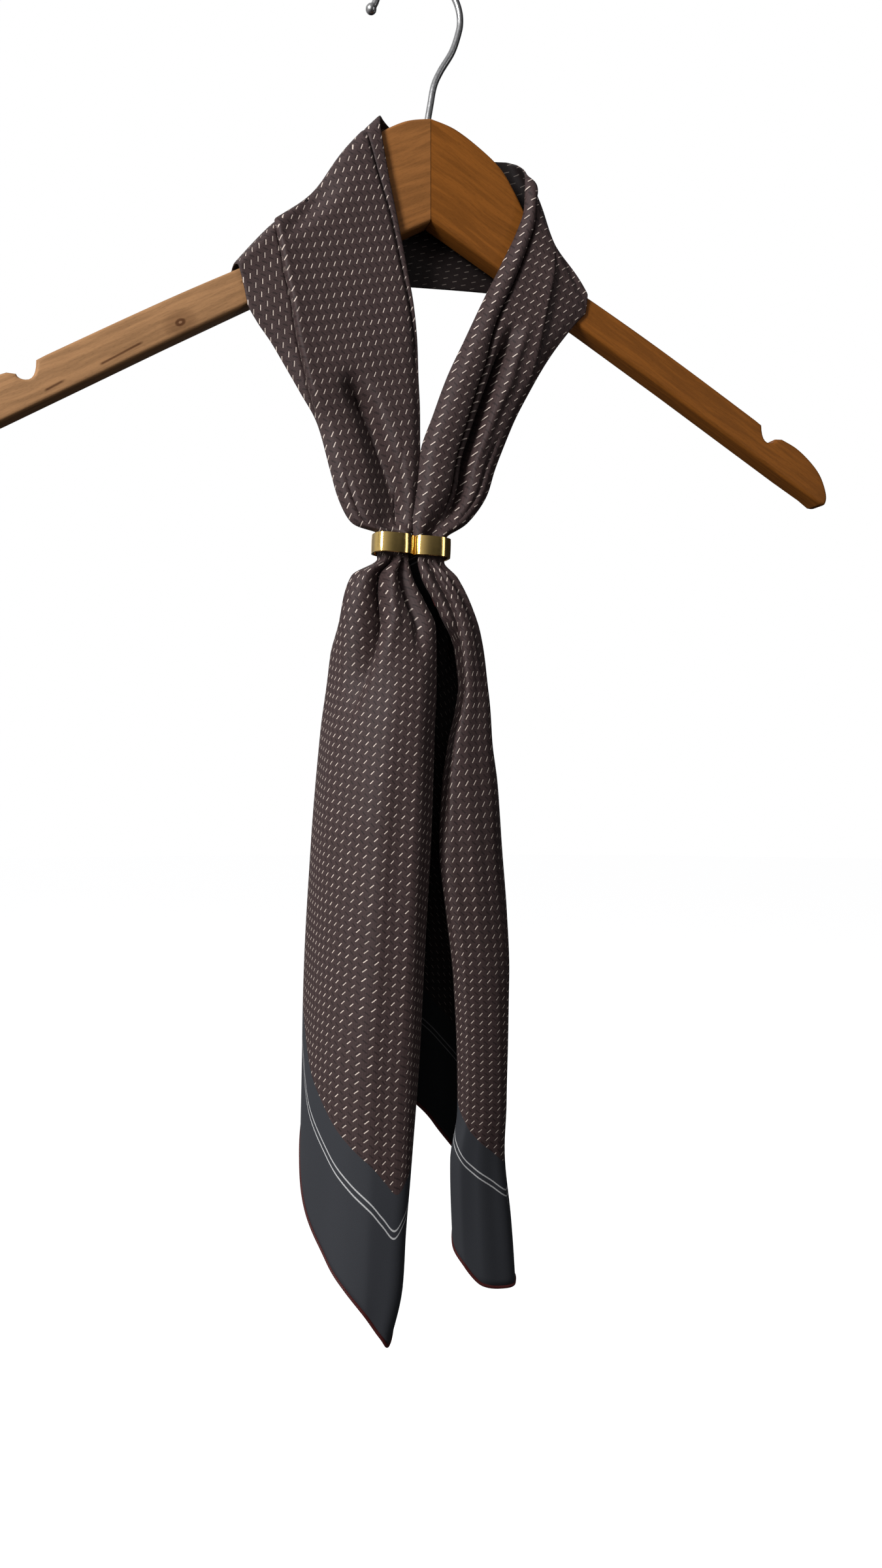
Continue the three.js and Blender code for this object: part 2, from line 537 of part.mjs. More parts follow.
// Pleats that fan out below the ring: place along the roll at their top and foot, and how deep they are
const LEFT_PLEATS = [
  { top: 8.3, foot: 8.6, fromZ: -280, toZ: -318, depth: 2.6, width: 0.35 },
  { top: 6.3, foot: 7.4, fromZ: -279, toZ: -345, depth: 4.2, width: 0.45 },
  { top: 5, foot: 5.4, fromZ: -280, toZ: -335, depth: 3, width: 0.32 },
  { top: 11, foot: 10.6, fromZ: -280, toZ: -330, depth: 3.4, width: 0.45 },
  { top: 12.3, foot: 12.6, fromZ: -280, toZ: -345, depth: 3.8, width: 0.45 },
  { top: 7.2, foot: 7.4, fromZ: -400, toZ: -560, depth: 1, width: 0.6 },
];
const RIGHT_PLEATS = [
  { top: 4.6, foot: 4.4, fromZ: -281, toZ: -330, depth: 2.6, width: 0.35 },
  { top: 6.2, foot: 6.4, fromZ: -281, toZ: -340, depth: 2.6, width: 0.35 },
  { top: 9.8, foot: 9.9, fromZ: -281, toZ: -330, depth: 3, width: 0.4 },
  { top: 11.2, foot: 11.4, fromZ: -281, toZ: -340, depth: 3, width: 0.4 },
];
const PLEAT_RISE = 0.2;
const PLEAT_FALL = 0.35;
const TAIL_TOP_Z = RING_CENTRE.z - GAP;

function tailPoint(roll, sections, pleats, tipZ, c, r) {
  const place = c * (roll.length - 1);
  const turn = readTable(roll, 'turn', place);
  const z = THREE.MathUtils.lerp(TAIL_TOP_Z, tipZ + turn.hem, r ** ROW_BUNCHING);
  const section = readTable(sections, 'z', z);
  const halfWidth = (section.right - section.left) / 2;
  const halfDepth = (section.back - section.front) / 2;
  const inward = new THREE.Vector3(-turn.across, -turn.depth, 0).normalize();
  let pleat = 0;
  for (const fold of pleats) {
    const fraction = (fold.fromZ - z) / (fold.fromZ - fold.toZ);
    if (fraction <= 0 || fraction >= 1) continue;
    const middle = THREE.MathUtils.lerp(fold.top, fold.foot, fraction);
    const strength = ease(0, PLEAT_RISE, fraction) * (1 - ease(PLEAT_FALL, 1, fraction));
    pleat += fold.depth * strength * bell(place - middle, fold.width);
  }
  return new THREE.Vector3(
    (section.left + section.right) / 2 + turn.across * halfWidth + turn.wing * section.wing,
    (section.front + section.back) / 2 + turn.depth * halfDepth,
    z
  ).addScaledVector(inward, pleat);
}

function tail(roll, sections, pleats, tipZ) {
  const rows = roll.map((row, turn) => ({ turn, ...row }));
  return clothWall(
    (c, r) => tailPoint(rows, sections, pleats, tipZ, c, r), TAIL_COLUMNS, TAIL_ROWS, CLOTH_WALL
  );
}

// The part
const scarfOnHanger = new THREE.Group();
function add(name, geometry, material) {
  const mesh = new THREE.Mesh(geometry, material);
  mesh.name = name;
  scarfOnHanger.add(mesh);
  return mesh;
}

add('hanger_left', hangerHalf(-1), wood(0x966f4f));
add('hanger_right', hangerHalf(1), wood(0x7c4c26));
add('hanger_hook', hangerHook(), steel);
const ring = add('scarf_ring', scarfRing(), gold);
ring.position.set(RING_CENTRE.x, RING_CENTRE.y, RING_CENTRE.z);
add('front_left', bandStretch(0, LEFT_TURN - TURN_CUT), silk());
add('neck_back', bandStretch(LEFT_TURN + TURN_CUT, RIGHT_TURN - TURN_CUT), silk());
add('front_right', bandStretch(RIGHT_TURN + TURN_CUT, BAND_END), silk());
add('tail_left', tail(LEFT_ROLL, LEFT_SECTIONS, LEFT_PLEATS, LEFT_TIP_Z), silk());
add('tail_right', tail(RIGHT_ROLL, RIGHT_SECTIONS, RIGHT_PLEATS, RIGHT_TIP_Z), silk());

export default scarfOnHanger;
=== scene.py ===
"""Silk square scarf on a wooden hanger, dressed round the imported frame. Metres, +Z up, front faces -Y."""
import cmath
import math

import bmesh
import bpy
from mathutils import Matrix, Vector, noise


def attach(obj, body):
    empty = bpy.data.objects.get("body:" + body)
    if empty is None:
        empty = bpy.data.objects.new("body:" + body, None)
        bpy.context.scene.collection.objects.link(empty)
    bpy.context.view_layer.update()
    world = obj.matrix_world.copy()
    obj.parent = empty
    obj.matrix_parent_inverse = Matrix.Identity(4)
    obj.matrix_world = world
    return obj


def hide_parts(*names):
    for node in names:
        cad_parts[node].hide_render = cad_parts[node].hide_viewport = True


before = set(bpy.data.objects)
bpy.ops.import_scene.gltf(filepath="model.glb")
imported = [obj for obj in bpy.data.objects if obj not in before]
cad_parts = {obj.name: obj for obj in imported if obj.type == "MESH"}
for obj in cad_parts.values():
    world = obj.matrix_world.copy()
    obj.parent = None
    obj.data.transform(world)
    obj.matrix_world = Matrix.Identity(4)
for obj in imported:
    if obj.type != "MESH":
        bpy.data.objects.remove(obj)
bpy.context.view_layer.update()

bl_info = {
    "name": "Silk scarf on a hanger",
    "version": (1, 0, 0),
    "blender": (4, 5, 0),
    "location": "View3D > Sidebar > Scarf",
    "description": "Builds a printed silk square worn by a wooden hanger and held by a metal scarf ring",
    "category": "Mesh",
}

MM = 0.001
ROOT2 = math.sqrt(2)


# Sizes and colours


def size_property(name, description, millimetres):
    return bpy.props.FloatProperty(
        name=name, description=description, default=millimetres * MM, unit="LENGTH", subtype="DISTANCE"
    )


class ScarfSizes(bpy.types.PropertyGroup):
    """Sizes of the cloth, its print and what carries it."""

    cloth_thickness: size_property("Cloth thickness", "Thickness of the silk as modelled", 0.6)
    band_thickness: size_property("Band thickness", "Thickness of the folded layers round the neck", 1.1)
    hem_radius: size_property("Hem radius", "Radius of the rolled hem", 0.8)
    column_spacing: size_property("Dash columns", "Distance between columns of dashes", 3.62)
    row_spacing: size_property("Dash rows", "Distance between rows of dashes", 4.16)
    border_width: size_property("Border width", "Width of the plain border inside the hem", 45)
    wood_thickness: size_property("Wood thickness", "Thickness of the wooden hanger", 12)
    wire_radius: size_property("Wire radius", "Radius of the hook's steel wire", 1.6)


def colour_property(name, description, default):
    return bpy.props.FloatVectorProperty(
        name=name, description=description, default=default, subtype="COLOR", size=3, min=0, max=1
    )


class ScarfColours(bpy.types.PropertyGroup):
    """Colours of the print, the hem, the wood and the metal, as linear values."""

    ground: colour_property("Ground", "Plum-brown ground of the print", (0.050, 0.031, 0.030))
    dash: colour_property("Dashes", "Cream dashes of the print", (0.82, 0.69, 0.6))
    border: colour_property("Border", "Charcoal border", (0.034, 0.036, 0.042))
    line: colour_property("Lines", "Two thin lines in the border", (0.5, 0.5, 0.5))
    hem: colour_property("Hem", "Dark red rolled hem", (0.075, 0.010, 0.009))
    wood_left: colour_property("Left wood", "Greyer wood of the left half", (0.37, 0.195, 0.088))
    wood_right: colour_property("Right wood", "Orange-brown wood of the right half", (0.24, 0.08, 0.012))
    gold: colour_property("Gold", "Polished gold of the scarf ring", (0.92, 0.64, 0.22))
    steel: colour_property("Steel", "Grey steel of the hook", (0.5, 0.5, 0.5))


# Tables and small maths


def read_table(table, at, keys=None):
    """Every column's value at one key, on a curve that never overshoots; a key may be a row's number."""
    last = len(table) - 1
    keys = keys or range(last + 1)
    at = min(max(at, keys[0]), keys[-1])
    low = 0
    while low < last - 1 and keys[low + 1] < at:
        low += 1
    span = keys[low + 1] - keys[low]
    t = (at - keys[low]) / span
    t2, t3 = t * t, t * t * t
    result = []
    for column in range(len(table[0])):

        def rise(row):
            return (table[row + 1][column] - table[row][column]) / (keys[row + 1] - keys[row])

        def slope(row):
            if row in (0, last):
                return rise(min(row, last - 1))
            before, after = rise(row - 1), rise(row)
            return 0.0 if before * after <= 0 else 2 * before * after / (before + after)

        start, end = table[low][column], table[low + 1][column]
        bend = slope(low) * (t3 - 2 * t2 + t) + slope(low + 1) * (t3 - t2)
        result.append(start + (end - start) * (3 * t2 - 2 * t3) + span * bend)
    return result


def read_line(points, at):
    """Height at one place of a smooth line, given as pairs of place and height."""
    return read_table([(height,) for _, height in points], at, [place for place, _ in points])[0]


def lerp(a, b, t):
    return a + (b - a) * t


def ease(low, high, at):
    t = min(max((at - low) / (high - low), 0.0), 1.0)
    return t * t * (3 - 2 * t)


def bell(distance, width):
    return math.exp(-((distance / width) ** 2))


CURVE_STEPS = 8


def spline(points, steps=CURVE_STEPS):
    """Points of a smooth curve through the given ones, with even steps between each two."""
    line = []
    last = len(points) - 1
    for i in range(last):
        p = [Vector(points[min(max(k, 0), last)]) for k in (i - 1, i, i + 1, i + 2)]
        for step in range(steps):
            t = step / steps
            v0, v1 = (p[2] - p[0]) / 2, (p[3] - p[1]) / 2
            line.append(
                (2 * p[1] - 2 * p[2] + v0 + v1) * t**3
                + (3 * p[2] - 3 * p[1] - 2 * v0 - v1) * t**2
                + v0 * t
                + p[1]
            )
    line.append(Vector(points[last]))
    return line


# Cloth form, in millimetres, as in the part's source

RING_CENTRE = (-7.5, -12, -275.1)
RING_LOBE_WIDTH = 19.0
RING_LOBE_DEPTH = 16.4
RING_WALL = 1.1
RING_BAND = 9.2
RING_TILT = 0.035
LEFT_TIP_Z = -637.5
RIGHT_TIP_Z = -622.0
TAIL_TOP_Z = RING_CENTRE[2] - 0.3

# Band stations: lower edge's x, y, z, upper edge's x, y, z, how far both turn back, share of gathering
BAND_STATIONS = [
    (-23.25, -12, -274.65, -9.65, -12, -274.65, 0, 1),
    (-23.9, -12, -269.6, -8.0, -12, -269.6, 0.4, 0.95),
    (-35, -11.5, -265.6, -5.6, -12.5, -265.6, 1.5, 0.5),
    (-41.6, -11, -253.6, -4.2, -13, -252, 3, 0.15), (-45.2, -10.5, -241, -2.6, -12.8, -235, 3, 0),
    (-51.2, -10, -220, -2.6, -12.5, -213, 3, 0), (-58.6, -9.6, -207.5, -3.3, -12, -196, 2.5, 0),
    (-65.5, -9.2, -196.4, -3.8, -11.5, -180, 2, 0), (-72.6, -8.8, -185.4, -5.5, -11, -163, 1.2, 0),
    (-78.4, -8.4, -177.6, -8.6, -10.4, -146, 0.8, 0), (-82.6, -8, -170, -13, -9.8, -124, 0.5, 0),
    (-84.3, -7.6, -162, -18.2, -9.2, -99, 0.2, 0), (-86.6, -7.8, -153.6, -21.2, -7.9, -79, 0, 0),
    (-87.8, 0, -150.4, -18.5, 0, -71.6, 0, 0), (-88.2, 7.9, -152.8, -10, 7.4, -73.4, 0, 0),
    (-80, 8, -152.5, -3, 8, -77, 0.4, 0), (-55, 8.4, -150, 4, 8.2, -81, 0.5, 0),
    (-27, 8.6, -148, 14, 8.2, -82.5, 0.5, 0), (3, 8.8, -146, 22, 8.2, -82.5, 0.5, 0),
    (33, 8.8, -144.5, 31, 8.2, -81, 0.5, 0), (60, 8.5, -143.8, 40.5, 7.8, -79.9, 0.5, 0),
    (78, 8.2, -144.4, 46.5, 6.8, -79.6, 0.4, 0), (83.1, 7.2, -144.9, 51, 3.6, -81.5, 0.2, 0),
    (84.9, 0, -142.8, 53, -1, -86, 0, 0), (84.1, -7.7, -146.2, 51.8, -5.8, -91.5, 0, 0),
    (83.6, -7.8, -153, 51, -9.2, -97, 0.8, 0), (78.4, -8, -159.5, 50, -10, -109, 1, 0),
    (72.4, -8.4, -167, 45.6, -10.4, -122, 1.2, 0), (66.4, -8.8, -175, 38.9, -10.8, -136, 1.6, 0),
    (60.2, -9.2, -184.5, 29.4, -11.2, -155, 2, 0), (53.4, -9.6, -196.4, 20, -11.6, -175, 2.5, 0),
    (46.3, -10, -209.6, 11, -12, -194, 2.6, 0), (40.6, -10.3, -222.6, 4, -12.4, -212.5, 2.6, 0),
    (35.6, -10.6, -235, -2.2, -12.6, -230, 2.6, 0), (31.2, -11, -248, -4.6, -12.8, -248, 2.6, 0.15),
    (20.5, -11.5, -262, -6.8, -12.6, -262, 1.5, 0.5), (9.6, -12, -269.6, -7.0, -12, -269.6, 0.4, 0.95),
    (8.25, -12, -274.65, -5.35, -12, -274.65, 0, 1),
]
BAND_END = len(BAND_STATIONS) - 1

# Wide folds of the band: from and to station, place across at each, depth of the trough, width
BAND_FOLDS = [
    (14, 22, 0.4, 0.55, -1, 0.06), (15, 21, 0.72, 0.8, -1, 0.06),
    (11, 14, 0.5, 0.5, 4, 0.18), (22, 25.4, 0.45, 0.45, 4.2, 0.26),
    (1.4, 6.4, 0.62, 0.36, 3, 0.12), (28.6, 33.6, 0.5, 0.42, 1.8, 0.07),
]

# Sharp folds of the band: line of station and place across, then in millimetres the depth and half width of
# its trough, the height and reach of the layer that ends there, and the height of a roll on its inner side
BAND_CREASES = [
    (((6, 0.97), (8.8, 0.96), (10.2, 0.955), (11, 0.93), (12.2, 0.9), (13, 0.88)), 1.5, 0.9, -1.2, 30, 0),
    (((4.6, 0.01), (5.5, 0.05), (7.5, 0.15), (9.7, 0.25), (11.8, 0.26), (13, 0.28)), 1.1, 0.8, 3.2, 12, 0),
    (
        ((1.2, 0.7), (2.3, 0.74), (3, 0.71), (4, 0.61), (5, 0.5), (5.8, 0.45), (6.7, 0.42)),
        8.6, 4.6, 0, 1, 0,
    ),
    (((0.9, 0.24), (2, 0.2), (4, 0.14)), 1.8, 1.3, 0.8, 6, 0),
    (((0.9, 0.7), (2, 0.72), (4.6, 0.8)), 1.6, 1.2, 0, 1, 0),
    (
        (
            (23.2, 0.88), (24.1, 0.86), (26.5, 0.84), (28.1, 0.79), (29.2, 0.76), (29.7, 0.72),
            (30.3, 0.65), (31.6, 0.59), (33, 0.55), (35.4, 0.52),
        ),
        3.4, 1.0, 0, 1, 3.0,
    ),
    (
        ((25.2, 0.55), (26.4, 0.44), (27.5, 0.33), (28.5, 0.2), (29.5, 0.09), (30.2, 0.02)),
        1.0, 0.8, 3.0, 14, 0,
    ),
    (
        ((28.7, 0.57), (29.9, 0.52), (30.6, 0.47), (31.4, 0.44), (33.8, 0.4), (35.4, 0.38)),
        9.0, 2.6, 0, 1, 0,
    ),
    (((28, 0.44), (29.5, 0.37), (30.4, 0.29), (31.5, 0.3), (33.6, 0.3)), -1.6, 2.4, 0, 1, 0),
    (((31.5, 0.14), (33.4, 0.16), (35.6, 0.22)), 1.4, 1.2, 0.8, 5, 0),
]
CREASE_FADE = 1.3
STEP_SOFT = 0.5
ROLL_FULLNESS = 0.7
BAND_BOW = 1.2
EDGE_ROUND = 0.07
FOLD_FADE = 0.2
GATHER_WAVES = 1.5
GATHER_DEPTH = 2.8

# Rolls of the tails in plan: across, depth, height of the hem above the tip, shift of the wing
LEFT_ROLL = [
    (-0.35, 0.5, 62, 0), (0.1, 0.15, 42, 0), (0.6, -0.25, 22, 0), (0.98, -0.6, 7, 0),
    (0.84, -0.86, 0, 0), (0.55, -1, 6, 0), (0.15, -0.95, 15.5, 0), (-0.25, -0.72, 26, 0),
    (-0.6, -0.32, 38, 0), (-0.86, 0.15, 55, 0), (-0.96, 0.55, 81, 0), (-0.78, 0.88, 100, 0),
    (-0.35, 0.98, 114, 0), (0.1, 0.85, 128, 0), (0.5, 0.6, 140, 0),
]
RIGHT_ROLL = [
    (0.5, -0.2, 56, 0), (-0.15, -0.24, 46, 0), (-0.78, -0.38, 35, 0), (-0.96, -0.63, 22, 0),
    (-0.72, -0.96, 13, 0), (-0.25, -1, 4, 0), (0.3, -0.88, 1, 0), (0.78, -0.58, 0, 0),
    (1, -0.05, 2, 0), (0.92, 0.45, 16, 0), (0.5, 0.82, 38, 0), (-0.1, 0.95, 58, -2),
    (-0.5, 0.96, 74, -9), (-0.75, 0.86, 90, -22),
]

# Sections of the tails: height, left, right, front, back, how far the wing has opened
LEFT_SECTIONS = [
    (-275.1, -23.25, -9.65, -16.6, -7.4, 0), (-281, -23.3, -9.8, -16.4, -7.4, 0),
    (-289, -35.9, -8.9, -21.5, -2.5, 0), (-301.6, -40.8, -3.3, -25, 2, 0),
    (-313.6, -42.3, 1.6, -27.5, 5.5, 0), (-337, -44.6, 1.8, -29.5, 10.5, 0),
    (-361, -47.6, 0.6, -30.5, 13.5, 0), (-409, -51.6, -1.3, -31, 15, 0),
    (-456, -54.1, -3.7, -31, 15, 0), (-503, -55.9, -6.2, -31, 15, 0),
    (-561, -57.5, -9.6, -30.5, 14.5, 0), (-588, -57.4, -12, -30, 14, 0),
    (-612, -57.1, -14, -29.5, 12.5, 0), (-642, -54.7, -21.5, -27, 9, 0),
]
RIGHT_SECTIONS = [
    (-275.1, -5.35, 8.25, -16.6, -7.4, 0), (-281, -5.4, 8.4, -16.6, -7.4, 0),
    (-289, -4.4, 15.8, -20, -3, 0), (-301.6, 2, 22.3, -22, 0, 0.1), (-313.6, 7, 26.3, -23, 3, 0.3),
    (-324, 9.4, 28.2, -23, 5, 0.6), (-339, 11, 29.8, -23, 6.5, 0.9), (-351, 8.6, 31.6, -23, 7, 1),
    (-366, 4.4, 33.4, -23, 7, 1), (-385, 2.4, 35.9, -23, 7, 1), (-415, 4, 37.5, -23, 7, 1),
    (-446, 8, 39.7, -23, 7, 1), (-476, 11.2, 41.2, -23, 7, 1), (-537, 13.2, 41.2, -22, 6.5, 1),
    (-560, 10, 40.3, -21, 6, 1), (-592, 10.9, 42.8, -20, 5, 1), (-625, 14, 45, -19, 4, 1),
]

# Pleats below the ring: place along the roll at top and foot, from and to height, depth, width on each side
LEFT_PLEATS = [
    (6.25, 8.3, -277, -364, 12.0, 0.26, 0.9), (5.7, 7.1, -278, -350, -2.6, 0.4, 0.26),
    (9.0, 10.1, -278, -326, 6.0, 0.26, 0.7), (4.6, 4.9, -278, -336, 7.0, 0.35, 0.5),
    (7.6, 7.9, -278, -300, -1.6, 0.3, 0.3), (11, 10.8, -280, -330, 3.4, 0.45, 0.45),
    (12.3, 12.6, -280, -345, 3.8, 0.45, 0.45), (7.2, 7.4, -400, -560, 1, 0.6, 0.6),
]
RIGHT_PLEATS = [
    (3.9, 3.3, -308, -425, 10.0, 1.6, 0.5), (4.6, 4.3, -279, -335, 4.0, 0.26, 0.5),
    (6.2, 6.5, -279, -350, 4.2, 0.24, 0.6), (5.4, 5.5, -280, -302, 1.4, 0.2, 0.2),
    (7.6, 7.7, -280, -318, 1.8, 0.25, 0.4), (9.8, 9.9, -281, -330, 3, 0.4, 0.4),
    (11.2, 11.4, -281, -340, 3, 0.4, 0.4),
]
PLEAT_RISE = 0.12
PLEAT_FALL = 0.35
SWAY = 1.4
SWAY_STARTS = (-285, -330)
SWAY_PER_TURN = 0.8
SWAY_PER_MM = 0.012
ROW_BUNCHING = 1.8


STATION_STEP = 0.01


def over_band(row):
    """Way across the band, from its lower to its upper edge."""
    return Vector(row[3:6]) - Vector(row[0:3])


def band_base(at, across):
    row = read_table(BAND_STATIONS, at)
    return row, Vector(row[0:3]).lerp(Vector(row[3:6]), across)


def crease_height(at, across, width):
    """Height that the sharp folds add at one place of the band, whose width is in millimetres."""
    height = 0.0
    for points, depth, half, step, reach, roll in BAND_CREASES:
        first, last = points[0][0], points[-1][0]
        if not first < at < last:
            continue
        middle = read_line(points, at)
        fade = ease(first, first + CREASE_FADE, at) * (1 - ease(last - CREASE_FADE, last, at))
        away = (across - middle) * width
        height -= fade * depth * bell(away, half)
        if step:
            side = away if step > 0 else -away
            height += fade * abs(step) * ease(-STEP_SOFT, STEP_SOFT, side) * math.exp(-max(side, 0) / reach)
        if roll and across > middle:
            arch = max(math.sin(math.pi * (across - middle) / (1 - middle)), 0)
            height += fade * roll * arch**ROLL_FULLNESS
    return height


def band_relief(at, across, row):
    """Height of the band's folds above its plain form."""
    curl, gather = row[6], row[7]
    height = BAND_BOW * math.sin(math.pi * across) * (1 - gather)
    height -= curl * (bell(across, EDGE_ROUND) + bell(1 - across, EDGE_ROUND))
    height += gather * GATHER_DEPTH * math.sin(2 * math.pi * GATHER_WAVES * across)
    for start, end, at_start, at_end, depth, width in BAND_FOLDS:
        fraction = (at - start) / (end - start)
        if not 0 < fraction < 1:
            continue
        strength = ease(0, FOLD_FADE, fraction) * ease(0, FOLD_FADE, 1 - fraction) * (1 - gather)
        height -= strength * depth * bell(across - lerp(at_start, at_end, fraction), width)
    width = over_band(row).length
    return height + crease_height(at, across, width) * (1 - gather)


def band_point(at, across):
    row, point = band_base(at, across)
    before = band_base(max(at - STATION_STEP, 0), across)[1]
    after = band_base(min(at + STATION_STEP, BAND_END), across)[1]
    outward = over_band(row).cross(after - before).normalized()
    return point + outward * band_relief(at, across, row)


def section_at(sections, z):
    """A tail's left, right, front, back and how far its wing has opened, at one height."""
    return read_table(sections, -z, [-row[0] for row in sections])[1:]


def tail_point(roll, sections, pleats, tip_z, turn, fall):
    """A point of a tail: turn runs along its roll, fall from the ring to the hem."""
    across, depth, hem, wing = read_table(roll, turn)
    z = lerp(TAIL_TOP_Z, tip_z + hem, fall**ROW_BUNCHING)
    left, right, front, back, opened = section_at(sections, z)
    inward = Vector((-across, -depth, 0)).normalized()
    pleat = 0.0
    for top, foot, start, end, pleat_depth, before, after in pleats:
        fraction = (start - z) / (start - end)
        if not 0 < fraction < 1:
            continue
        strength = ease(0, PLEAT_RISE, fraction) * (1 - ease(PLEAT_FALL, 1, fraction))
        away = turn - lerp(top, foot, fraction)
        pleat += pleat_depth * strength * bell(away, before if away < 0 else after)
    spot = Vector((turn * SWAY_PER_TURN, z * SWAY_PER_MM, roll[0][2]))
    sway = ease(*SWAY_STARTS, z) * SWAY * noise.noise(spot)
    point = Vector(
        (
            (left + right) / 2 + across * (right - left) / 2 + wing * opened,
            (front + back) / 2 + depth * (back - front) / 2,
            z,
        )
    )
    return point + inward * (pleat + sway)


# Mesh helpers


def new_piece(name, bm, materials, smooth_angle=40):
    """Turns a bmesh, in metres and in place, into a piece that rides on the part."""
    mesh = bpy.data.meshes.new(name)
    bm.to_mesh(mesh)
    bm.free()
    for material in materials:
        mesh.materials.append(material)
    for face in mesh.polygons:
        face.use_smooth = True
    mesh.set_sharp_from_angle(angle=math.radians(smooth_angle))
    piece = bpy.data.objects.new(name, mesh)
    bpy.context.scene.collection.objects.link(piece)
    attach(piece, "root")
    return piece


def cloth_grid(columns, rows, place, print_place):
    """A grid whose points are placed in millimetres, with the print's coordinates as its UV map."""
    bm = bmesh.new()
    bmesh.ops.create_grid(bm, x_segments=columns, y_segments=rows, size=0.5)
    layer = bm.loops.layers.uv.new("cloth")
    fractions = {}
    for vertex in bm.verts:
        fractions[vertex.index] = (vertex.co.x + 0.5, vertex.co.y + 0.5)
    for vertex in bm.verts:
        vertex.co = place(*fractions[vertex.index]) * MM
    prints = {index: print_place(*at) for index, at in fractions.items()}
    for face in bm.faces:
        for loop in face.loops:
            w, s = prints[loop.vert.index]
            loop[layer].uv = (w * MM, s * MM)
    return bm, fractions


def give_wall(piece, thickness, edge_share=None):
    """Gives a sheet its wall, its reverse in the second material, which is dimmed and darkened as painted
    shade; edge_share thins it where weights are low.
    """
    wall = piece.modifiers.new("wall", "SOLIDIFY")
    wall.thickness = thickness
    wall.offset = 0
    wall.use_even_offset = False
    wall.material_offset = 1
    if edge_share is not None:
        wall.vertex_group = "body"
        wall.thickness_vertex_group = edge_share


def cord_mesh(name, points, radius, material, sides=8, radii=None):
    """A round cord along points given in millimetres, with closed ends; radii are shares of its radius."""
    curve = bpy.data.curves.new(name, "CURVE")
    curve.dimensions = "3D"
    curve.bevel_depth = radius
    curve.bevel_resolution = sides // 4
    curve.use_fill_caps = True
    line = curve.splines.new("POLY")
    line.points.add(len(points) - 1)
    for spot, point, share in zip(line.points, points, radii or [1.0] * len(points)):
        spot.co = (*(Vector(point) * MM), 1)
        spot.radius = share
    shape = bpy.data.objects.new(name + "_line", curve)
    bpy.context.scene.collection.objects.link(shape)
    graph = bpy.context.evaluated_depsgraph_get()
    bm = bmesh.new()
    bm.from_mesh(shape.evaluated_get(graph).to_mesh())
    bpy.data.objects.remove(shape)
    bmesh.ops.remove_doubles(bm, verts=bm.verts, dist=1e-6)
    bmesh.ops.recalc_face_normals(bm, faces=bm.faces)
    return new_piece(name, bm, [material])


# Shaders


class Number:
    """A shader number that takes Python's operators; each adds its Math node."""

    def __init__(self, nodes, socket):
        self.nodes = nodes
        self.socket = socket

    def math(self, operation, *others):
        values = dict(enumerate((self, *others)))
        made = self.nodes.node("ShaderNodeMath", {"operation": operation}, values)
        return Number(self.nodes, made.outputs[0])

    def __add__(self, other):
        return self.math("ADD", other)

    __radd__ = __add__

    def __sub__(self, other):
        return self.math("SUBTRACT", other)

    def __rsub__(self, other):
        return (self * -1) + other

    def __mul__(self, other):
        return self.math("MULTIPLY", other)

    __rmul__ = __mul__

    def __truediv__(self, other):
        return self.math("DIVIDE", other)

    def __abs__(self):
        return self.math("ABSOLUTE")

    def most(self, other):
        return self.math("MAXIMUM", other)

    def floor(self):
        return self.math("FLOOR")

    def fraction(self):
        return self.math("FRACT")

    def sine(self):
        return self.math("SINE")

    def rise(self, low, high):
        """0 below low, 1 above high and smooth between."""
        settings = {"interpolation_type": "SMOOTHSTEP"}
        values = {0: self, 1: low, 2: high, 3: 0.0, 4: 1.0}
        made = self.nodes.node("ShaderNodeMapRange", settings, values)
        return Number(self.nodes, made.outputs[0])

    def below(self, high, soft):
        """1 below high, falling to 0 over the soft distance."""
        return 1 - self.rise(high - soft / 2, high + soft / 2)


class Nodes:
    """The nodes of one material or of the world."""

    def __init__(self, tree):
        self.tree = tree

    def node(self, kind, settings=None, values=None):
        """A node with its settings made first, then its sockets' values or links."""
        made = self.tree.nodes.new(kind)
        for name, value in (settings or {}).items():
            setattr(made, name, value)
        for name, value in (values or {}).items():
            self.feed(made.inputs[name], value)
        return made

    def feed(self, socket, value):
        value = getattr(value, "socket", value)
        if isinstance(value, bpy.types.NodeSocket):
            self.tree.links.new(value, socket)
        elif socket.type == "RGBA" and len(value) == 3:
            socket.default_value = (*value, 1)
        else:
            socket.default_value = value

    def number(self, socket):
        return Number(self, socket)

    def mix(self, factor, first, second, blend="MIX"):
        """A colour between two others."""
        settings = {"data_type": "RGBA", "blend_type": blend}
        return self.node("ShaderNodeMix", settings, {0: factor, 6: first, 7: second}).outputs[2]

    def vector(self, x, y, z=0.0):
        return self.node("ShaderNodeCombineXYZ", None, {0: x, 1: y, 2: z}).outputs[0]

    def parts(self, vector):
        """A vector's three numbers."""
        made = self.node("ShaderNodeSeparateXYZ", None, {0: vector})
        return [self.number(part) for part in made.outputs]

    def shaded(self, colour, tone):
        """A colour made lighter or darker by a number."""
        return self.mix(1.0, colour, self.vector(tone, tone, tone), "MULTIPLY")

    def mottle(self, at, scale, detail=3.0, roughness=0.5):
        """Noise about 0.5, over places in millimetres."""
        values = {"Vector": at, "Scale": scale, "Detail": detail, "Roughness": roughness}
        return self.number(self.node("ShaderNodeTexNoise", None, values).outputs["Fac"])


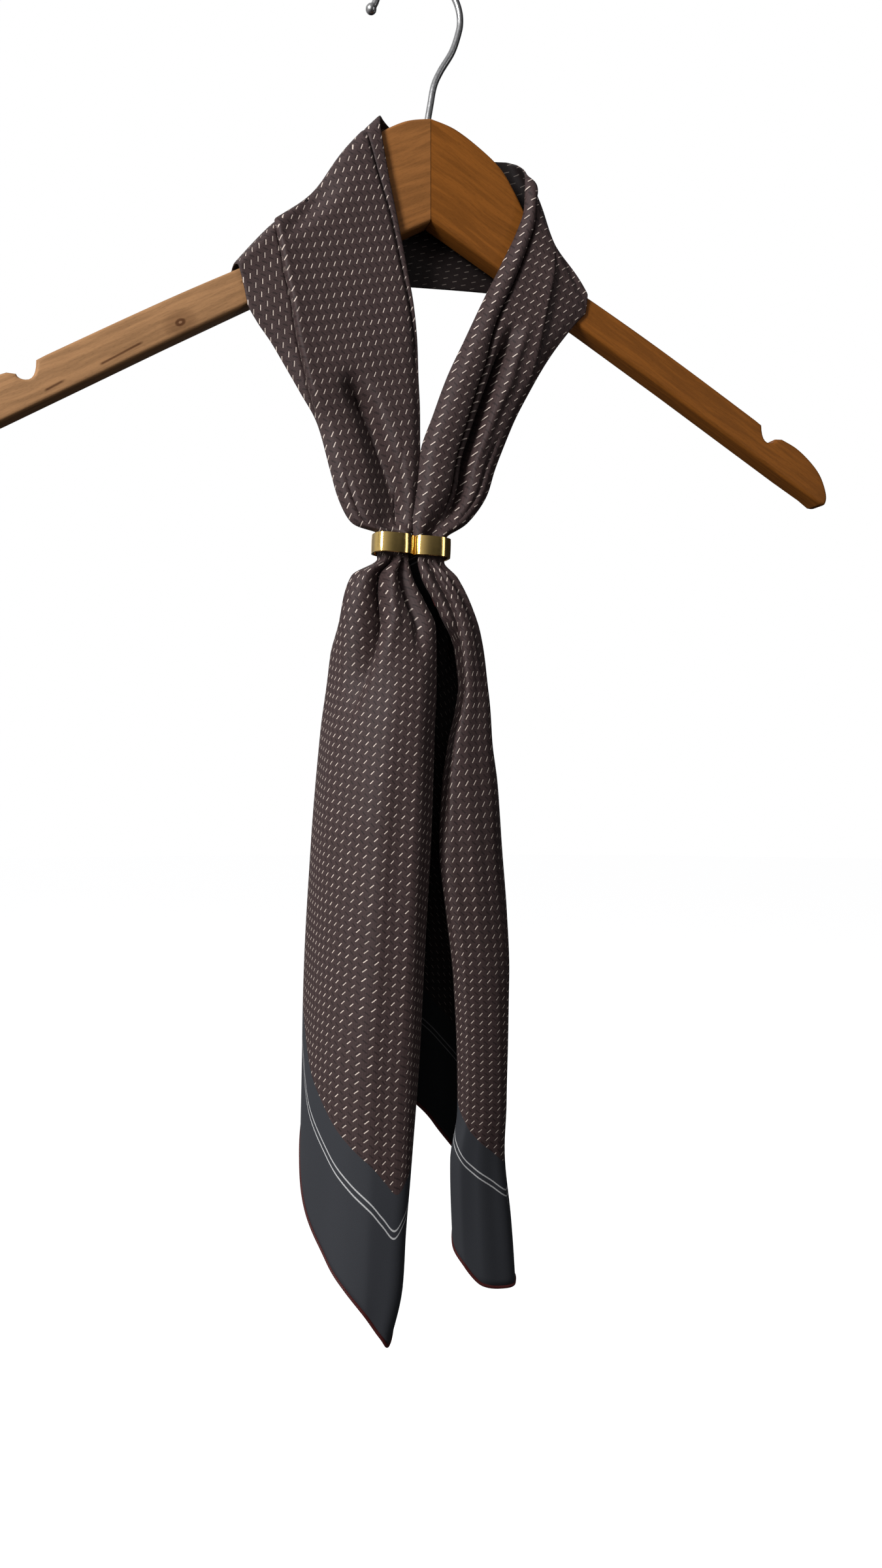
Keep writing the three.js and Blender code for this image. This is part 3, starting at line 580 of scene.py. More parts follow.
class Finish(Nodes):
    """A material under construction."""

    def __init__(self, name, **constants):
        self.material = bpy.data.materials.new(name)
        self.material.use_nodes = True
        super().__init__(self.material.node_tree)
        self.shader = self.tree.nodes["Principled BSDF"]
        for socket, value in constants.items():
            self.shader.inputs[socket.replace("_", " ")].default_value = value

    def places(self):
        """Object coordinates, in millimetres, as three numbers."""
        at = self.node("ShaderNodeTexCoord").outputs["Object"]
        return [part / MM for part in self.parts(at)]

    def set(self, socket, value):
        self.feed(self.shader.inputs[socket], value)

    def bump(self, height, distance, strength):
        values = {"Height": height, "Distance": distance, "Strength": strength}
        self.set("Normal", self.node("ShaderNodeBump", None, values).outputs["Normal"])


def summed(shares, *amounts):
    """The first share plus each amount times its own share."""
    total = shares[0]
    for share, amount in zip(shares[1:], amounts):
        total = amount * share + total
    return total


def finish_of(name, make, *words):
    """The named material, made once."""
    return bpy.data.materials.get(name) or make(name, *words)


# Marks of the print in millimetres: half length, softness of the ends, half width, softness of the sides
DASH = (1.1, 0.18, 0.15, 0.18)
DASH_RIM = (1.0, 0.6, 0.22, 0.3)
DARK_STROKE = (1.5, 0.8, 0.45, 0.4)
DASH_TURN = math.radians(54)
RIM_AWAY = 0.62
MARK_DARK = (0.012, 0.008, 0.008)
MARK_STRENGTH = 0.6

# Border lines in millimetres: places from the hem, half width and softness; softness of the border's edge
LINE_PLACES = (33.6, 31.2)
LINE_HALF_WIDTH = 0.3
LINE_SOFT = 0.2
BORDER_SOFT = 0.3

# Silk: scale, detail and roughness of its clouds, weave in radians per millimetre, shares of its tones
SILK_CLOUD = (0.9, 3.0, 0.6)
HATCH_RATE = 4.4
TWILL_RATE = 9.0
TWILL_SLOPE = 1.7
GROUND_TONES = (0.55, 0.4, 0.55)
DASH_TONES = (0.62, 0.38)
BORDER_CLOUD = (3.0, 2.0)
BORDER_TONES = (0.85, 0.3)
SILK_ROUGHNESS = (0.54, 0.12)
SILK_BUMP = (0.03 * MM, 0.6)
# Tone of the reverse: partly a duller print, partly painted shade for the shadowed insides of folds and
# rolls
REVERSE_DULL_AND_PAINTED_SHADE = 0.2


def mark(along, side, half_length, end_soft, half_width, side_soft):
    """A soft-edged bar of the print."""
    return abs(along).below(half_length, end_soft) * abs(side).below(half_width, side_soft)


def silk_finish(name, shade):
    """Printed silk: slanted dashes on a plum-brown ground, and a charcoal border with two thin lines; shade
    multiplies all of it, which dims the reverse and paints shade on it.
    """
    sizes = bpy.context.scene.scarf_sizes
    colours = bpy.context.scene.scarf_colours
    finish = Finish(name, Specular_IOR_Level=0.2, Sheen_Weight=0.03, Sheen_Roughness=0.4)
    cloth = finish.node("ShaderNodeUVMap", {"uv_map": "cloth"}).outputs[0]
    w, s, _ = [part / MM for part in finish.parts(cloth)]
    place = finish.vector(w, s)

    width, height = sizes.column_spacing / MM, sizes.row_spacing / MM
    column, row = w / width, s / height
    cell = finish.vector(column.floor(), row.floor())
    chances = finish.node("ShaderNodeTexWhiteNoise", {"noise_dimensions": "2D"}, {"Vector": cell})
    chance = finish.number(chances.outputs["Value"])
    x, y = (column.fraction() - 0.5) * width, (row.fraction() - 0.5) * height
    along = x * math.cos(DASH_TURN) + y * math.sin(DASH_TURN)
    side = x * math.sin(DASH_TURN) - y * math.cos(DASH_TURN)
    dash = mark(along, side, *DASH)
    rim = mark(along, side + RIM_AWAY, *DASH_RIM)
    x, y = ((column + 0.5).fraction() - 0.5) * width, ((row + 0.5).fraction() - 0.5) * height
    stroke = mark(x - y, x + y, *DARK_STROKE)

    cloud = finish.mottle(place, *SILK_CLOUD)
    hatch = ((w + s) * HATCH_RATE).sine() * ((w - s) * HATCH_RATE).sine() * 0.5 + 0.5
    # shade darkens ground, dashes, border and lines alike, which is painted shade on the reverse
    ground = finish.shaded(tuple(colours.ground), summed(GROUND_TONES, hatch, cloud) * shade)
    ground = finish.mix(rim.most(stroke) * MARK_STRENGTH, ground, MARK_DARK)
    dash_colour = finish.shaded(tuple(colours.dash), summed(DASH_TONES, chance) * shade)
    printed = finish.mix(dash, ground, dash_colour)

    from_hem = (s - abs(w)) / ROOT2
    border = from_hem.below(sizes.border_width / MM, BORDER_SOFT)
    lines = [abs(from_hem - middle).below(LINE_HALF_WIDTH, LINE_SOFT) for middle in LINE_PLACES]
    border_tone = summed(BORDER_TONES, finish.mottle(place, *BORDER_CLOUD)) * shade
    border_colour = finish.shaded(tuple(colours.border), border_tone)
    line_colour = tuple(part * shade for part in colours.line)
    border_colour = finish.mix(lines[0].most(lines[1]), border_colour, line_colour)
    finish.set("Base Color", finish.mix(border, printed, border_colour))
    finish.set("Roughness", summed(SILK_ROUGHNESS, cloud))
    twill = ((w + s * TWILL_SLOPE) * TWILL_RATE).sine()
    finish.bump((twill + hatch) * 0.5, *SILK_BUMP)
    return finish.material


# Hem thread: radians per millimetre, their slant, and shares of its tone
THREAD_RATE = 5.5
THREAD_SLOPE = 1.4
THREAD_TONES = (0.85, 0.2)
THREAD_BUMP = (0.08 * MM, 0.5)


def hem_finish(name):
    """Dark red thread of the rolled hem, with fine slanting turns."""
    finish = Finish(name, Roughness=0.6, Specular_IOR_Level=0.3)
    x, y, z = finish.places()
    turns = ((x + y + z * THREAD_SLOPE) * THREAD_RATE).sine()
    colour = tuple(bpy.context.scene.scarf_colours.hem)
    finish.set("Base Color", finish.shaded(colour, summed(THREAD_TONES, turns)))
    finish.bump(turns, *THREAD_BUMP)
    return finish.material


# Marks in the left half's front: foot of each dark streak and its length, and the middle of the knot
WOOD_STREAKS = ((-146.9, -203.7, 21.7), (-169.8, -217.3, 10.0), (-86.0, -160.5, 12.0))
STREAK_TURN = math.radians(33.2)
STREAK_HALF_WIDTH = 0.45
STREAK_SOFT = 0.8
STREAK_ENDS = (2.0, 3.0)
STREAK_STRENGTH = 0.8
WOOD_DARK = (0.055, 0.014, 0.004)
WOOD_KNOT = (-112.1, -181.0)
KNOT_SKEW = (1.5, 0.9)

# Rings of the knot: squared reach, its softness, strength and colour
KNOT_RINGS = (
    (40.0, 60.0, 0.3, WOOD_DARK), (4.5, 4.0, 0.75, WOOD_DARK), (0.5, 0.6, 0.5, (0.45, 0.25, 0.13)),
)
WOOD_FRONT = (-3.0, 1.0)

# Wood of the arms: slope and its cosine, then the grain's scales along, through and across, per millimetre
ARM_SLOPE = 0.56
ARM_COSINE = 0.87
WARP_PER_MM = (0.02, 0.05, 0.05)
GRAIN_PER_MM = (0.03, 0.9, 0.45)
PORES_PER_MM = (0.5, 2.5, 3.2)
GRAIN_WARP = 3.0
GRAIN_EDGES = (0.36, 0.66)
PORE_EDGES = (0.48, 0.72)
WOOD_TONES = (0.8, 0.3, -0.16)
WOOD_ROUGHNESS = (0.46, 0.16)
WOOD_BUMP = (0.1 * MM, 0.3)
# Left half towards the middle: darker, more orange wood, partly its own colour and partly painted shade
# where the light from the left falls off
SEAM_TINT_AND_PAINTED_FALLOFF = (0.27, 0.1, 0.022)
SEAM_FADE = (-95.0, -15.0)
SEAM_STRENGTH = 0.85


def wood_marks(finish, body, x, y, z):
    """Adds the streaks and the knot of the left half's front face."""
    front = y.below(*WOOD_FRONT)
    across, up = math.cos(STREAK_TURN), math.sin(STREAK_TURN)
    for foot_x, foot_z, length in WOOD_STREAKS:
        along = (x - foot_x) * across + (z - foot_z) * up
        away = abs((z - foot_z) * across - (x - foot_x) * up)
        ends = along.rise(0.0, STREAK_ENDS[0]) * along.below(length, STREAK_ENDS[1])
        streak = ends * away.below(STREAK_HALF_WIDTH, STREAK_SOFT)
        body = finish.mix(streak * front * STREAK_STRENGTH, body, WOOD_DARK)
    knot_x, knot_z = x - WOOD_KNOT[0], z - WOOD_KNOT[1]
    spread = knot_x * knot_x + knot_z * knot_z * KNOT_SKEW[0] - knot_x * knot_z * KNOT_SKEW[1]
    for reach, soft, strength, colour in KNOT_RINGS:
        body = finish.mix(spread.below(reach, soft) * front * strength, body, colour)
    return body


def wood_finish(name, colour, side):
    """Rubbed wood whose grain runs down one arm of the hanger."""
    finish = Finish(name, Specular_IOR_Level=0.12)
    x, y, z = finish.places()
    along = (x * side - z * ARM_SLOPE) * ARM_COSINE
    across = (x * side * ARM_SLOPE + z) * ARM_COSINE

    def scaled(per_mm, shift=0.0):
        return finish.vector(along * per_mm[0], y * per_mm[1], across * per_mm[2] + shift)

    warp = finish.mottle(scaled(WARP_PER_MM), 1.0, 2.0)
    grain = finish.mottle(scaled(GRAIN_PER_MM, warp * GRAIN_WARP), 1.0, 5.0, 0.62)
    pores = finish.mottle(scaled(PORES_PER_MM), 1.0, 3.0)
    # Painted shade with a real change of colour: the left half darkens towards the middle
    if side < 0:
        colour = finish.mix(x.rise(*SEAM_FADE) * SEAM_STRENGTH, colour, SEAM_TINT_AND_PAINTED_FALLOFF)
    tone = summed(WOOD_TONES, grain.rise(*GRAIN_EDGES), pores.rise(*PORE_EDGES))
    body = finish.shaded(colour, tone)
    if side < 0:
        body = wood_marks(finish, body, x, y, z)
    finish.set("Base Color", body)
    finish.set("Roughness", summed(WOOD_ROUGHNESS, grain))
    finish.bump(grain * 0.4 + pores * 0.6, *WOOD_BUMP)
    return finish.material


# Metals: scale and detail of their clouds, then shares of what shades and dulls them
STEEL = ((0.9, 4.0), (0.75, 0.4), (0.2, 0.22))
GOLD = ((0.6, 3.0), (0.92, 0.12), (0.07, 0.12))


def metal_finish(name, colour, clouds, tones, roughness):
    """Bare metal, faintly rubbed."""
    finish = Finish(name, Metallic=1.0)
    rub = finish.mottle(finish.vector(*finish.places()), *clouds)
    finish.set("Base Color", finish.shaded(colour, summed(tones, rub)))
    finish.set("Roughness", summed(roughness, rub))
    return finish.material


# Pieces


def silk():
    """The printed face of the silk and its reverse, dimmed and darkened further as painted shade."""
    return [
        finish_of("printed_silk", silk_finish, 1.0),
        finish_of("silk_reverse", silk_finish, REVERSE_DULL_AND_PAINTED_SHADE),
    ]


def red_hem(word, path):
    """The rolled hem, along a path in millimetres."""
    radius = bpy.context.scene.scarf_sizes.hem_radius
    return cord_mesh(f"red_hem_{word}", path, radius, finish_of("red_hem", hem_finish))


def half_area(piece):
    """Half of a piece's closed surface, in square metres, which is the area of its cloth."""
    graph = bpy.context.evaluated_depsgraph_get()
    shape = piece.evaluated_get(graph)
    mesh = shape.to_mesh()
    area = sum(face.area for face in mesh.polygons) / 2
    shape.to_mesh_clear()
    return area


BAND_COLUMNS = 150
BAND_ROWS = 300
PRINT_STEPS = 370
PRINT_SHRINK = 0.885
FRONT_LEFT_TURN = 13
FRONT_RIGHT_TURN = 162
BACK_TURNS = (80, 70)
FACING_LAYER = 1
FACING_TURN = math.radians(-20)
LEFT_ARM_STATION = 13
RIGHT_ARM_STATION = 23
EDGE_WEIGHTS = (0.0, 0.75, 0.95)
EDGE_SHARE = 0.35


def print_turns():
    """Angle of the print against the line across the band at each station, in degrees."""
    turns = []
    for station, row in enumerate(BAND_STATIONS):
        line = math.degrees(math.atan2(row[5] - row[2], row[3] - row[0]))
        if station < LEFT_ARM_STATION:
            turns.append((line - FRONT_LEFT_TURN,))
        elif station <= RIGHT_ARM_STATION:
            share = (station - LEFT_ARM_STATION) / (RIGHT_ARM_STATION - LEFT_ARM_STATION)
            turns.append((lerp(*BACK_TURNS, share) - line,))
        else:
            turns.append((line - FRONT_RIGHT_TURN,))
    return turns


def middle_line():
    """Place of the band's middle in the print, as a complex number, at even steps along the band."""
    turns = print_turns()
    at, places, before = 0j, [], None
    for step in range(PRINT_STEPS + 1):
        station = BAND_END * step / PRINT_STEPS
        row, point = band_base(station, 0.5)
        over = over_band(row).normalized()
        turn = cmath.rect(1, math.radians(read_table(turns, station)[0]))
        if before:
            move = point - before
            across = move.dot(over)
            at += across * turn + (move - across * over).length * turn * 1j
        places.append(at)
        before = point
    return turns, places


def layer_edge(at):
    """Place across where the layer on the left front ends, whose print lies turned; none elsewhere."""
    points = BAND_CREASES[FACING_LAYER][0]
    if not points[0][0] < at < points[-1][0]:
        return -1.0
    return read_line(points, at)


class SCARF_OT_neck_band(bpy.types.Operator):
    """Builds the folded silk that runs from the ring over both arms and behind the hanger"""

    bl_idname = "scarf.neck_band"
    bl_label = "Neck band"

    def execute(self, context):
        turns, places = middle_line()
        start = TAIL_TOP_Z - LEFT_TIP_Z

        def place(c, r):
            return band_point(r * BAND_END, c)

        def print_place(c, r):
            step = min(int(r * PRINT_STEPS), PRINT_STEPS - 1)
            middle = lerp(places[step], places[step + 1], r * PRINT_STEPS - step)
            row = band_base(r * BAND_END, 0)[0]
            width = over_band(row).length
            turn = math.radians(read_table(turns, r * BAND_END)[0])
            at = middle + (c - 0.5) * width * cmath.rect(1, turn)
            if c < layer_edge(r * BAND_END):
                at *= cmath.rect(1, FACING_TURN)
            return at.real, start + at.imag * PRINT_SHRINK

        bm, fractions = cloth_grid(BAND_COLUMNS, BAND_ROWS, place, print_place)
        band = new_piece("silk_neck_band", bm, silk(), 180)
        body = band.vertex_groups.new(name="body")
        for index, (c, _) in fractions.items():
            column = round(min(c, 1 - c) * BAND_COLUMNS)
            weight = EDGE_WEIGHTS[column] if column < len(EDGE_WEIGHTS) else 1.0
            body.add([index], weight, "REPLACE")
        give_wall(band, context.scene.scarf_sizes.band_thickness, EDGE_SHARE)
        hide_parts("front_left", "neck_back", "front_right")
        half_area(band)
        return {"FINISHED"}


TAILS = {
    "left": (LEFT_ROLL, LEFT_SECTIONS, LEFT_PLEATS, LEFT_TIP_Z, -1, 150, 170),
    "right": (RIGHT_ROLL, RIGHT_SECTIONS, RIGHT_PLEATS, RIGHT_TIP_Z, 1, 140, 160),
}

# Line of the print's own corner, a little askew: place along the roll and height above its tip
PRINT_HEMS = {
    "left": (
        (0, 39), (3.5, 13), (4.3, 6), (4.85, 0), (5.5, 6), (6, 11.7), (7, 21), (8, 33), (9, 53), (10, 80),
        (11, 101), (12, 115), (13, 129), (14, 141),
    ),
    "right": (
        (0, 68), (1, 58), (2, 47), (3, 35), (4, 25), (5, 17.5), (6, 11), (7, 5), (8, 5), (9, 19), (10, 41),
        (11, 61), (12, 77), (13, 93),
    ),
}
PRINT_TIPS = {"left": (4.85, -632.0), "right": (7, -622.0)}
PRINT_LEVELS = 30
PRINT_TURNS = 90
PRINT_GATHER = 0.45
FULL_WIDTH_Z = -456.0
HEM_LINE = 1.0
HEM_FADE = (80.0, 300.0)
BORDER_SCALE = {"left": 1.0, "right": 0.85}
ROW_SLOPE = {"left": 0.22, "right": 0.08}
HEM_STEPS = 260


def tail_print(roll, sections, side, way):
    """Gives the print's place for a turn and a height: across from the tip's line, and up from the tip."""
    last = len(roll) - 1
    tip, tip_z = PRINT_TIPS[side]

    def arc_at(z):
        left, right, front, back, opened = section_at(sections, z)
        places, length, before = [], 0.0, None
        for step in range(PRINT_TURNS + 1):
            across, depth, _, wing = read_table(roll, last * step / PRINT_TURNS)
            point = Vector((across * (right - left) / 2 + wing * opened, depth * (back - front) / 2, 0))
            length += (point - before).length if before else 0.0
            places.append(length)
            before = point
        middle = places[round(tip / last * PRINT_TURNS)]
        return [(place - middle) * way for place in places]

    full = arc_at(FULL_WIDTH_Z)
    levels = [arc_at(lerp(TAIL_TOP_Z, tip_z, (k / PRINT_LEVELS) ** 2)) for k in range(PRINT_LEVELS + 1)]

    def at_turn(places, turn):
        step = min(int(turn / last * PRINT_TURNS), PRINT_TURNS - 1)
        return lerp(places[step], places[step + 1], turn / last * PRINT_TURNS - step)

    def print_place(turn, z):
        level = math.sqrt(min(max((z - TAIL_TOP_Z) / (tip_z - TAIL_TOP_Z), 0), 1)) * PRINT_LEVELS
        k = min(int(level), PRINT_LEVELS - 1)
        actual = lerp(at_turn(levels[k], turn), at_turn(levels[k + 1], turn), level - k)
        hem = read_line(PRINT_HEMS[side], turn)
        above = z - tip_z - hem
        free = ease(*HEM_FADE, above)
        beside_hem = hem / ((way if turn > tip else -way) - ROW_SLOPE[side])
        w = lerp(beside_hem, lerp(actual, at_turn(full, turn), PRINT_GATHER), free)
        stretch = (1 / BORDER_SCALE[side] - 1) * (1 - free)
        return w, z - tip_z + ROW_SLOPE[side] * w + above * stretch

    return print_place


class SCARF_OT_tail(bpy.types.Operator):
    """Builds one hanging corner of the square, from the ring down to its hem"""

    bl_idname = "scarf.tail"
    bl_label = "Tail"

    side: bpy.props.StringProperty(name="Side", description="Which tail, left or right", default="left")

    def execute(self, context):
        roll, sections, pleats, tip_z, way, columns, rows = TAILS[self.side]
        last = len(roll) - 1
        printed = tail_print(roll, sections, self.side, way)

        def place(c, r):
            return tail_point(roll, sections, pleats, tip_z, c * last, r)

        def print_place(c, r):
            hem = read_table(roll, c * last)[2]
            return printed(c * last, lerp(TAIL_TOP_Z, tip_z + hem, r**ROW_BUNCHING))

        bm, _ = cloth_grid(columns, rows, place, print_place)
        # The right tail's faces turn so that its inner side gets the reverse, with its painted shade
        if way > 0:
            bmesh.ops.reverse_faces(bm, faces=bm.faces)
        tail = new_piece(f"silk_tail_{self.side}", bm, silk(), 180)
        give_wall(tail, context.scene.scarf_sizes.cloth_thickness)
        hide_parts(f"tail_{self.side}")

        path = [place(k / HEM_STEPS, HEM_LINE) for k in range(HEM_STEPS + 1)]
        hem = red_hem(self.side, path)
        half_area(tail)
        return {"FINISHED"}


# Corner of the cloth tucked between the tails: height, left edge, right edge, depth
TUCK_ROWS = [
    (-278, -13, -2, -12), (-284, -12.5, 0, -11.5), (-292, -11, 2, -10), (-302, -6.5, 6, -6),
    (-314, -3, 10, 0),
]
TUCK_LINE = (-4.5, -281.7)
TUCK_LINE_TURN = math.radians(28)
TUCK_HEM = [(-1.6, -15.5, -291.5), (-0.3, -16.2, -294.5), (1.6, -16.6, -298.5), (3.4, -16.4, -302.5)]
TUCK_PRINT_REACH = 100.0
TUCK_BOW = 1.6
TUCK_GRID = (24, 80)


class SCARF_OT_tucked_corner(bpy.types.Operator):
    """Builds the bit of border that is tucked between the tails under the ring"""

    bl_idname = "scarf.tucked_corner"
    bl_label = "Tucked corner"

    def execute(self, context):
        depths = [-row[0] for row in TUCK_ROWS]

        def place(c, r):
            z = lerp(TUCK_ROWS[0][0], TUCK_ROWS[-1][0], r)
            _, left, right, y = read_table(TUCK_ROWS, -z, depths)
            return Vector((lerp(left, right, c), y + TUCK_BOW * math.sin(math.pi * c), z))

        def print_place(c, r):
            spot = place(c, r) - Vector((TUCK_LINE[0], 0, TUCK_LINE[1]))
            across, up = math.cos(TUCK_LINE_TURN), math.sin(TUCK_LINE_TURN)
            from_hem = LINE_PLACES[1] + spot.z * across - spot.x * up
            along = TUCK_PRINT_REACH + spot.x * across + spot.z * up
            return (along - from_hem) / ROOT2, (along + from_hem) / ROOT2

        bm, _ = cloth_grid(*TUCK_GRID, place, print_place)
        corner = new_piece("silk_tucked_corner", bm, silk(), 180)
        give_wall(corner, context.scene.scarf_sizes.cloth_thickness)
        hem = red_hem("tucked", spline(TUCK_HEM))
        half_area(corner)
        return {"FINISHED"}


HANGER_MIDDLE = 4.0
HANGER_TILT = 0.012
HANGER_TOP = [
    (0, -70.9), (12.2, -74), (25.4, -81.6), (35.8, -90), (42.8, -100.5), (49.5, -113), (58, -131),
    (67, -140), (80, -146.4), (109.5, -162.1), (138.2, -178.2), (174.3, -199.1),
]
HANGER_NOTCH = [(178.2, -201.6), (182.7, -210.3), (188.4, -207.6)]
HANGER_END = [
    (190.4, -208), (199.2, -212), (207.7, -218.6), (213.7, -225.8), (217, -235), (216, -240.4),
    (212, -240.8),
]
HANGER_BOTTOM = [
    (206.4, -237), (191.3, -228.6), (162, -211.5), (123.7, -189.1), (80, -164.1), (32, -137.3),
    (0, -119.5),
]
NOTCH_FLOOR_RUN = 3
NOTCH_LIP_RUN = 2
NOTCH_LIP_DIP = 0.6
NOTCH_STEPS = (6, 5)
END_STEPS = 6
WOOD_EDGE_RADIUS = 1.8
SEAM_GAP = 0.3


def bow(start, pull, end, steps):
    """Points of a curve from start to end, pulled towards a third point."""
    points = []
    for step in range(1, steps + 1):
        t = step / steps
        shares = ((1 - t) ** 2, 2 * t * (1 - t), t * t)
        spots = zip(start, pull, end)
        points.append([sum(share * part for share, part in zip(shares, spot)) for spot in spots])
    return points


def hanger_outline():
    mouth, floor, lip = HANGER_NOTCH
    before_lip = (lip[0] - NOTCH_LIP_RUN, lip[1] - NOTCH_LIP_DIP)
    right = [tuple(p) for p in spline(HANGER_TOP)]
    right.append(mouth)
    right += bow(mouth, (mouth[0], floor[1]), floor, NOTCH_STEPS[0])
    right += bow(floor, (floor[0] + NOTCH_FLOOR_RUN, floor[1]), before_lip, NOTCH_STEPS[1])
    right += [tuple(p) for p in spline(HANGER_END, END_STEPS)]
    right += HANGER_BOTTOM
    left = [(-x, z) for x, z in reversed(right[1:-1])]
    crest = HANGER_TOP[0][1]
    across, up = math.cos(HANGER_TILT), math.sin(HANGER_TILT)
    return [
        (HANGER_MIDDLE + x * across - (z - crest) * up, crest + x * up + (z - crest) * across)
        for x, z in right + left
    ]


def hanger_body():
    """The whole wooden body as a mesh, upright, with rounded edges."""
    curve = bpy.data.curves.new("hanger_outline", "CURVE")
    curve.dimensions = "2D"
    curve.fill_mode = "BOTH"
    half = bpy.context.scene.scarf_sizes.wood_thickness / 2
    curve.extrude = half - WOOD_EDGE_RADIUS * MM
    curve.bevel_depth = WOOD_EDGE_RADIUS * MM
    curve.bevel_resolution = 4
    curve.offset = -WOOD_EDGE_RADIUS * MM
    line = curve.splines.new("POLY")
    outline = hanger_outline()
    line.points.add(len(outline) - 1)
    for spot, (x, z) in zip(line.points, outline):
        spot.co = (x * MM, z * MM, 0, 1)
    line.use_cyclic_u = True
    shape = bpy.data.objects.new("hanger_outline", curve)
    bpy.context.scene.collection.objects.link(shape)
    bm = bmesh.new()
    bm.from_mesh(shape.evaluated_get(bpy.context.evaluated_depsgraph_get()).to_mesh())
    bpy.data.objects.remove(shape)
    bmesh.ops.remove_doubles(bm, verts=bm.verts, dist=1e-6)
    bmesh.ops.rotate(bm, verts=bm.verts, cent=(0, 0, 0), matrix=Matrix.Rotation(math.pi / 2, 3, "X"))
    bmesh.ops.recalc_face_normals(bm, faces=bm.faces)
    return bm


class SCARF_OT_hanger(bpy.types.Operator):
    """Builds the two wooden halves of the hanger"""

    bl_idname = "scarf.hanger"
    bl_label = "Hanger"

    def execute(self, context):
        colours = context.scene.scarf_colours
        for side, word, colour in ((-1, "left", colours.wood_left), (1, "right", colours.wood_right)):
            bm = hanger_body()
            cut = Vector((HANGER_MIDDLE + side * SEAM_GAP / 2, 0, 0)) * MM
            everything = bm.verts[:] + bm.edges[:] + bm.faces[:]
            bmesh.ops.bisect_plane(
                bm, geom=everything, plane_co=cut, plane_no=(-side, 0, 0), clear_outer=True
            )
            bmesh.ops.holes_fill(bm, edges=[edge for edge in bm.edges if edge.is_boundary], sides=0)
            bmesh.ops.recalc_face_normals(bm, faces=bm.faces)
            wood = finish_of(f"rubbed_wood_{word}", wood_finish, tuple(colour), side)
            half = new_piece(f"wood_{word}", bm, [wood], 30)
            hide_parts(f"hanger_{word}")
        return {"FINISHED"}


HOOK_RADIUS = 20.6
HOOK_TIP = [(-23.5, -21.8), (-21.6, -18.6)]
HOOK_ARC = range(165, -16, -15)
HOOK_SHANK = [(16.6, -34.4), (10.6, -45), (7.4, -52.5), (5.6, -62), (4, -72), (4, -79)]
HOOK_BALL_RADIUS = 2.6
HOOK_SIDES = 16

# Ball of the hook: steps of its outline, and its start and span in half turns
BALL_STEPS = 8
BALL_START = 0.02
BALL_SPAN = 0.78


class SCARF_OT_hook(bpy.types.Operator):
    """Builds the bent steel hook with the ball at its open end"""

    bl_idname = "scarf.hook"
    bl_label = "Hook"

    def execute(self, context):
        wire = context.scene.scarf_sizes.wire_radius
        centre_z = wire / MM - HOOK_RADIUS
        path = list(HOOK_TIP)
        for angle in HOOK_ARC:
            turn = math.radians(angle)
            path.append((math.cos(turn) * HOOK_RADIUS, centre_z + math.sin(turn) * HOOK_RADIUS))
        path += HOOK_SHANK
        points = [Vector((x, 0, z)) for x, z in spline(path)]
        way = (points[0] - points[1]).normalized()
        ball = []
        for step in range(BALL_STEPS + 1):
            turn = math.pi * (BALL_START + BALL_SPAN * step / BALL_STEPS)
            spot = points[0] + way * HOOK_BALL_RADIUS * math.cos(turn)
            ball.append((spot, HOOK_BALL_RADIUS * math.sin(turn)))
        line = [spot for spot, _ in ball] + points[2:]
        radii = [radius * MM / wire for _, radius in ball] + [1.0] * (len(points) - 2)
        steel = finish_of("hook_wire", metal_finish, tuple(context.scene.scarf_colours.steel), *STEEL)
        hook = cord_mesh("hook_wire", line, wire, steel, sides=HOOK_SIDES, radii=radii)
        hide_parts("hanger_hook")
        return {"FINISHED"}


RING_BULGE = 0.12
RING_LIP = 0.25
RING_TURNS = 96
RING_SQUARENESS = 3.0
RING_BAND_STEPS = 10


def ring_lobe(x):
    """One oval of the ring, its band slightly domed, with its middle at x."""
    bm = bmesh.new()
    half = RING_BAND / 2
    outer = RING_LOBE_WIDTH / 2
    profile = [(outer - RING_WALL, -half + RING_LIP), (outer - RING_WALL + RING_LIP, -half)]
    for step in range(RING_BAND_STEPS + 1):
        z = lerp(-half + RING_LIP, half - RING_LIP, step / RING_BAND_STEPS)
        profile.append((outer - RING_BULGE * (z / half) ** 2, z))
    profile += [(outer - RING_WALL + RING_LIP, half), (outer - RING_WALL, half - RING_LIP)]
    verts = [bm.verts.new((r * MM, 0, z * MM)) for r, z in profile]
    edges = [bm.edges.new((a, b)) for a, b in zip(verts, verts[1:] + verts[:1])]
    bmesh.ops.spin(
        bm,
        geom=verts + edges,
        cent=(0, 0, 0),
        axis=(0, 0, 1),
        angle=math.tau,
        steps=RING_TURNS,
        use_merge=True,
    )
    bmesh.ops.remove_doubles(bm, verts=bm.verts, dist=1e-6)
    for vertex in bm.verts:
        turn = math.atan2(vertex.co.y, vertex.co.x)
        corner = abs(math.cos(turn)) ** RING_SQUARENESS + abs(math.sin(turn)) ** RING_SQUARENESS
        vertex.co.xy *= corner ** (-1 / RING_SQUARENESS)
    bmesh.ops.scale(bm, verts=bm.verts, vec=(1, RING_LOBE_DEPTH / RING_LOBE_WIDTH, 1))
    bmesh.ops.translate(bm, verts=bm.verts, vec=(x * MM, 0, 0))
    bmesh.ops.recalc_face_normals(bm, faces=bm.faces)
    return bm


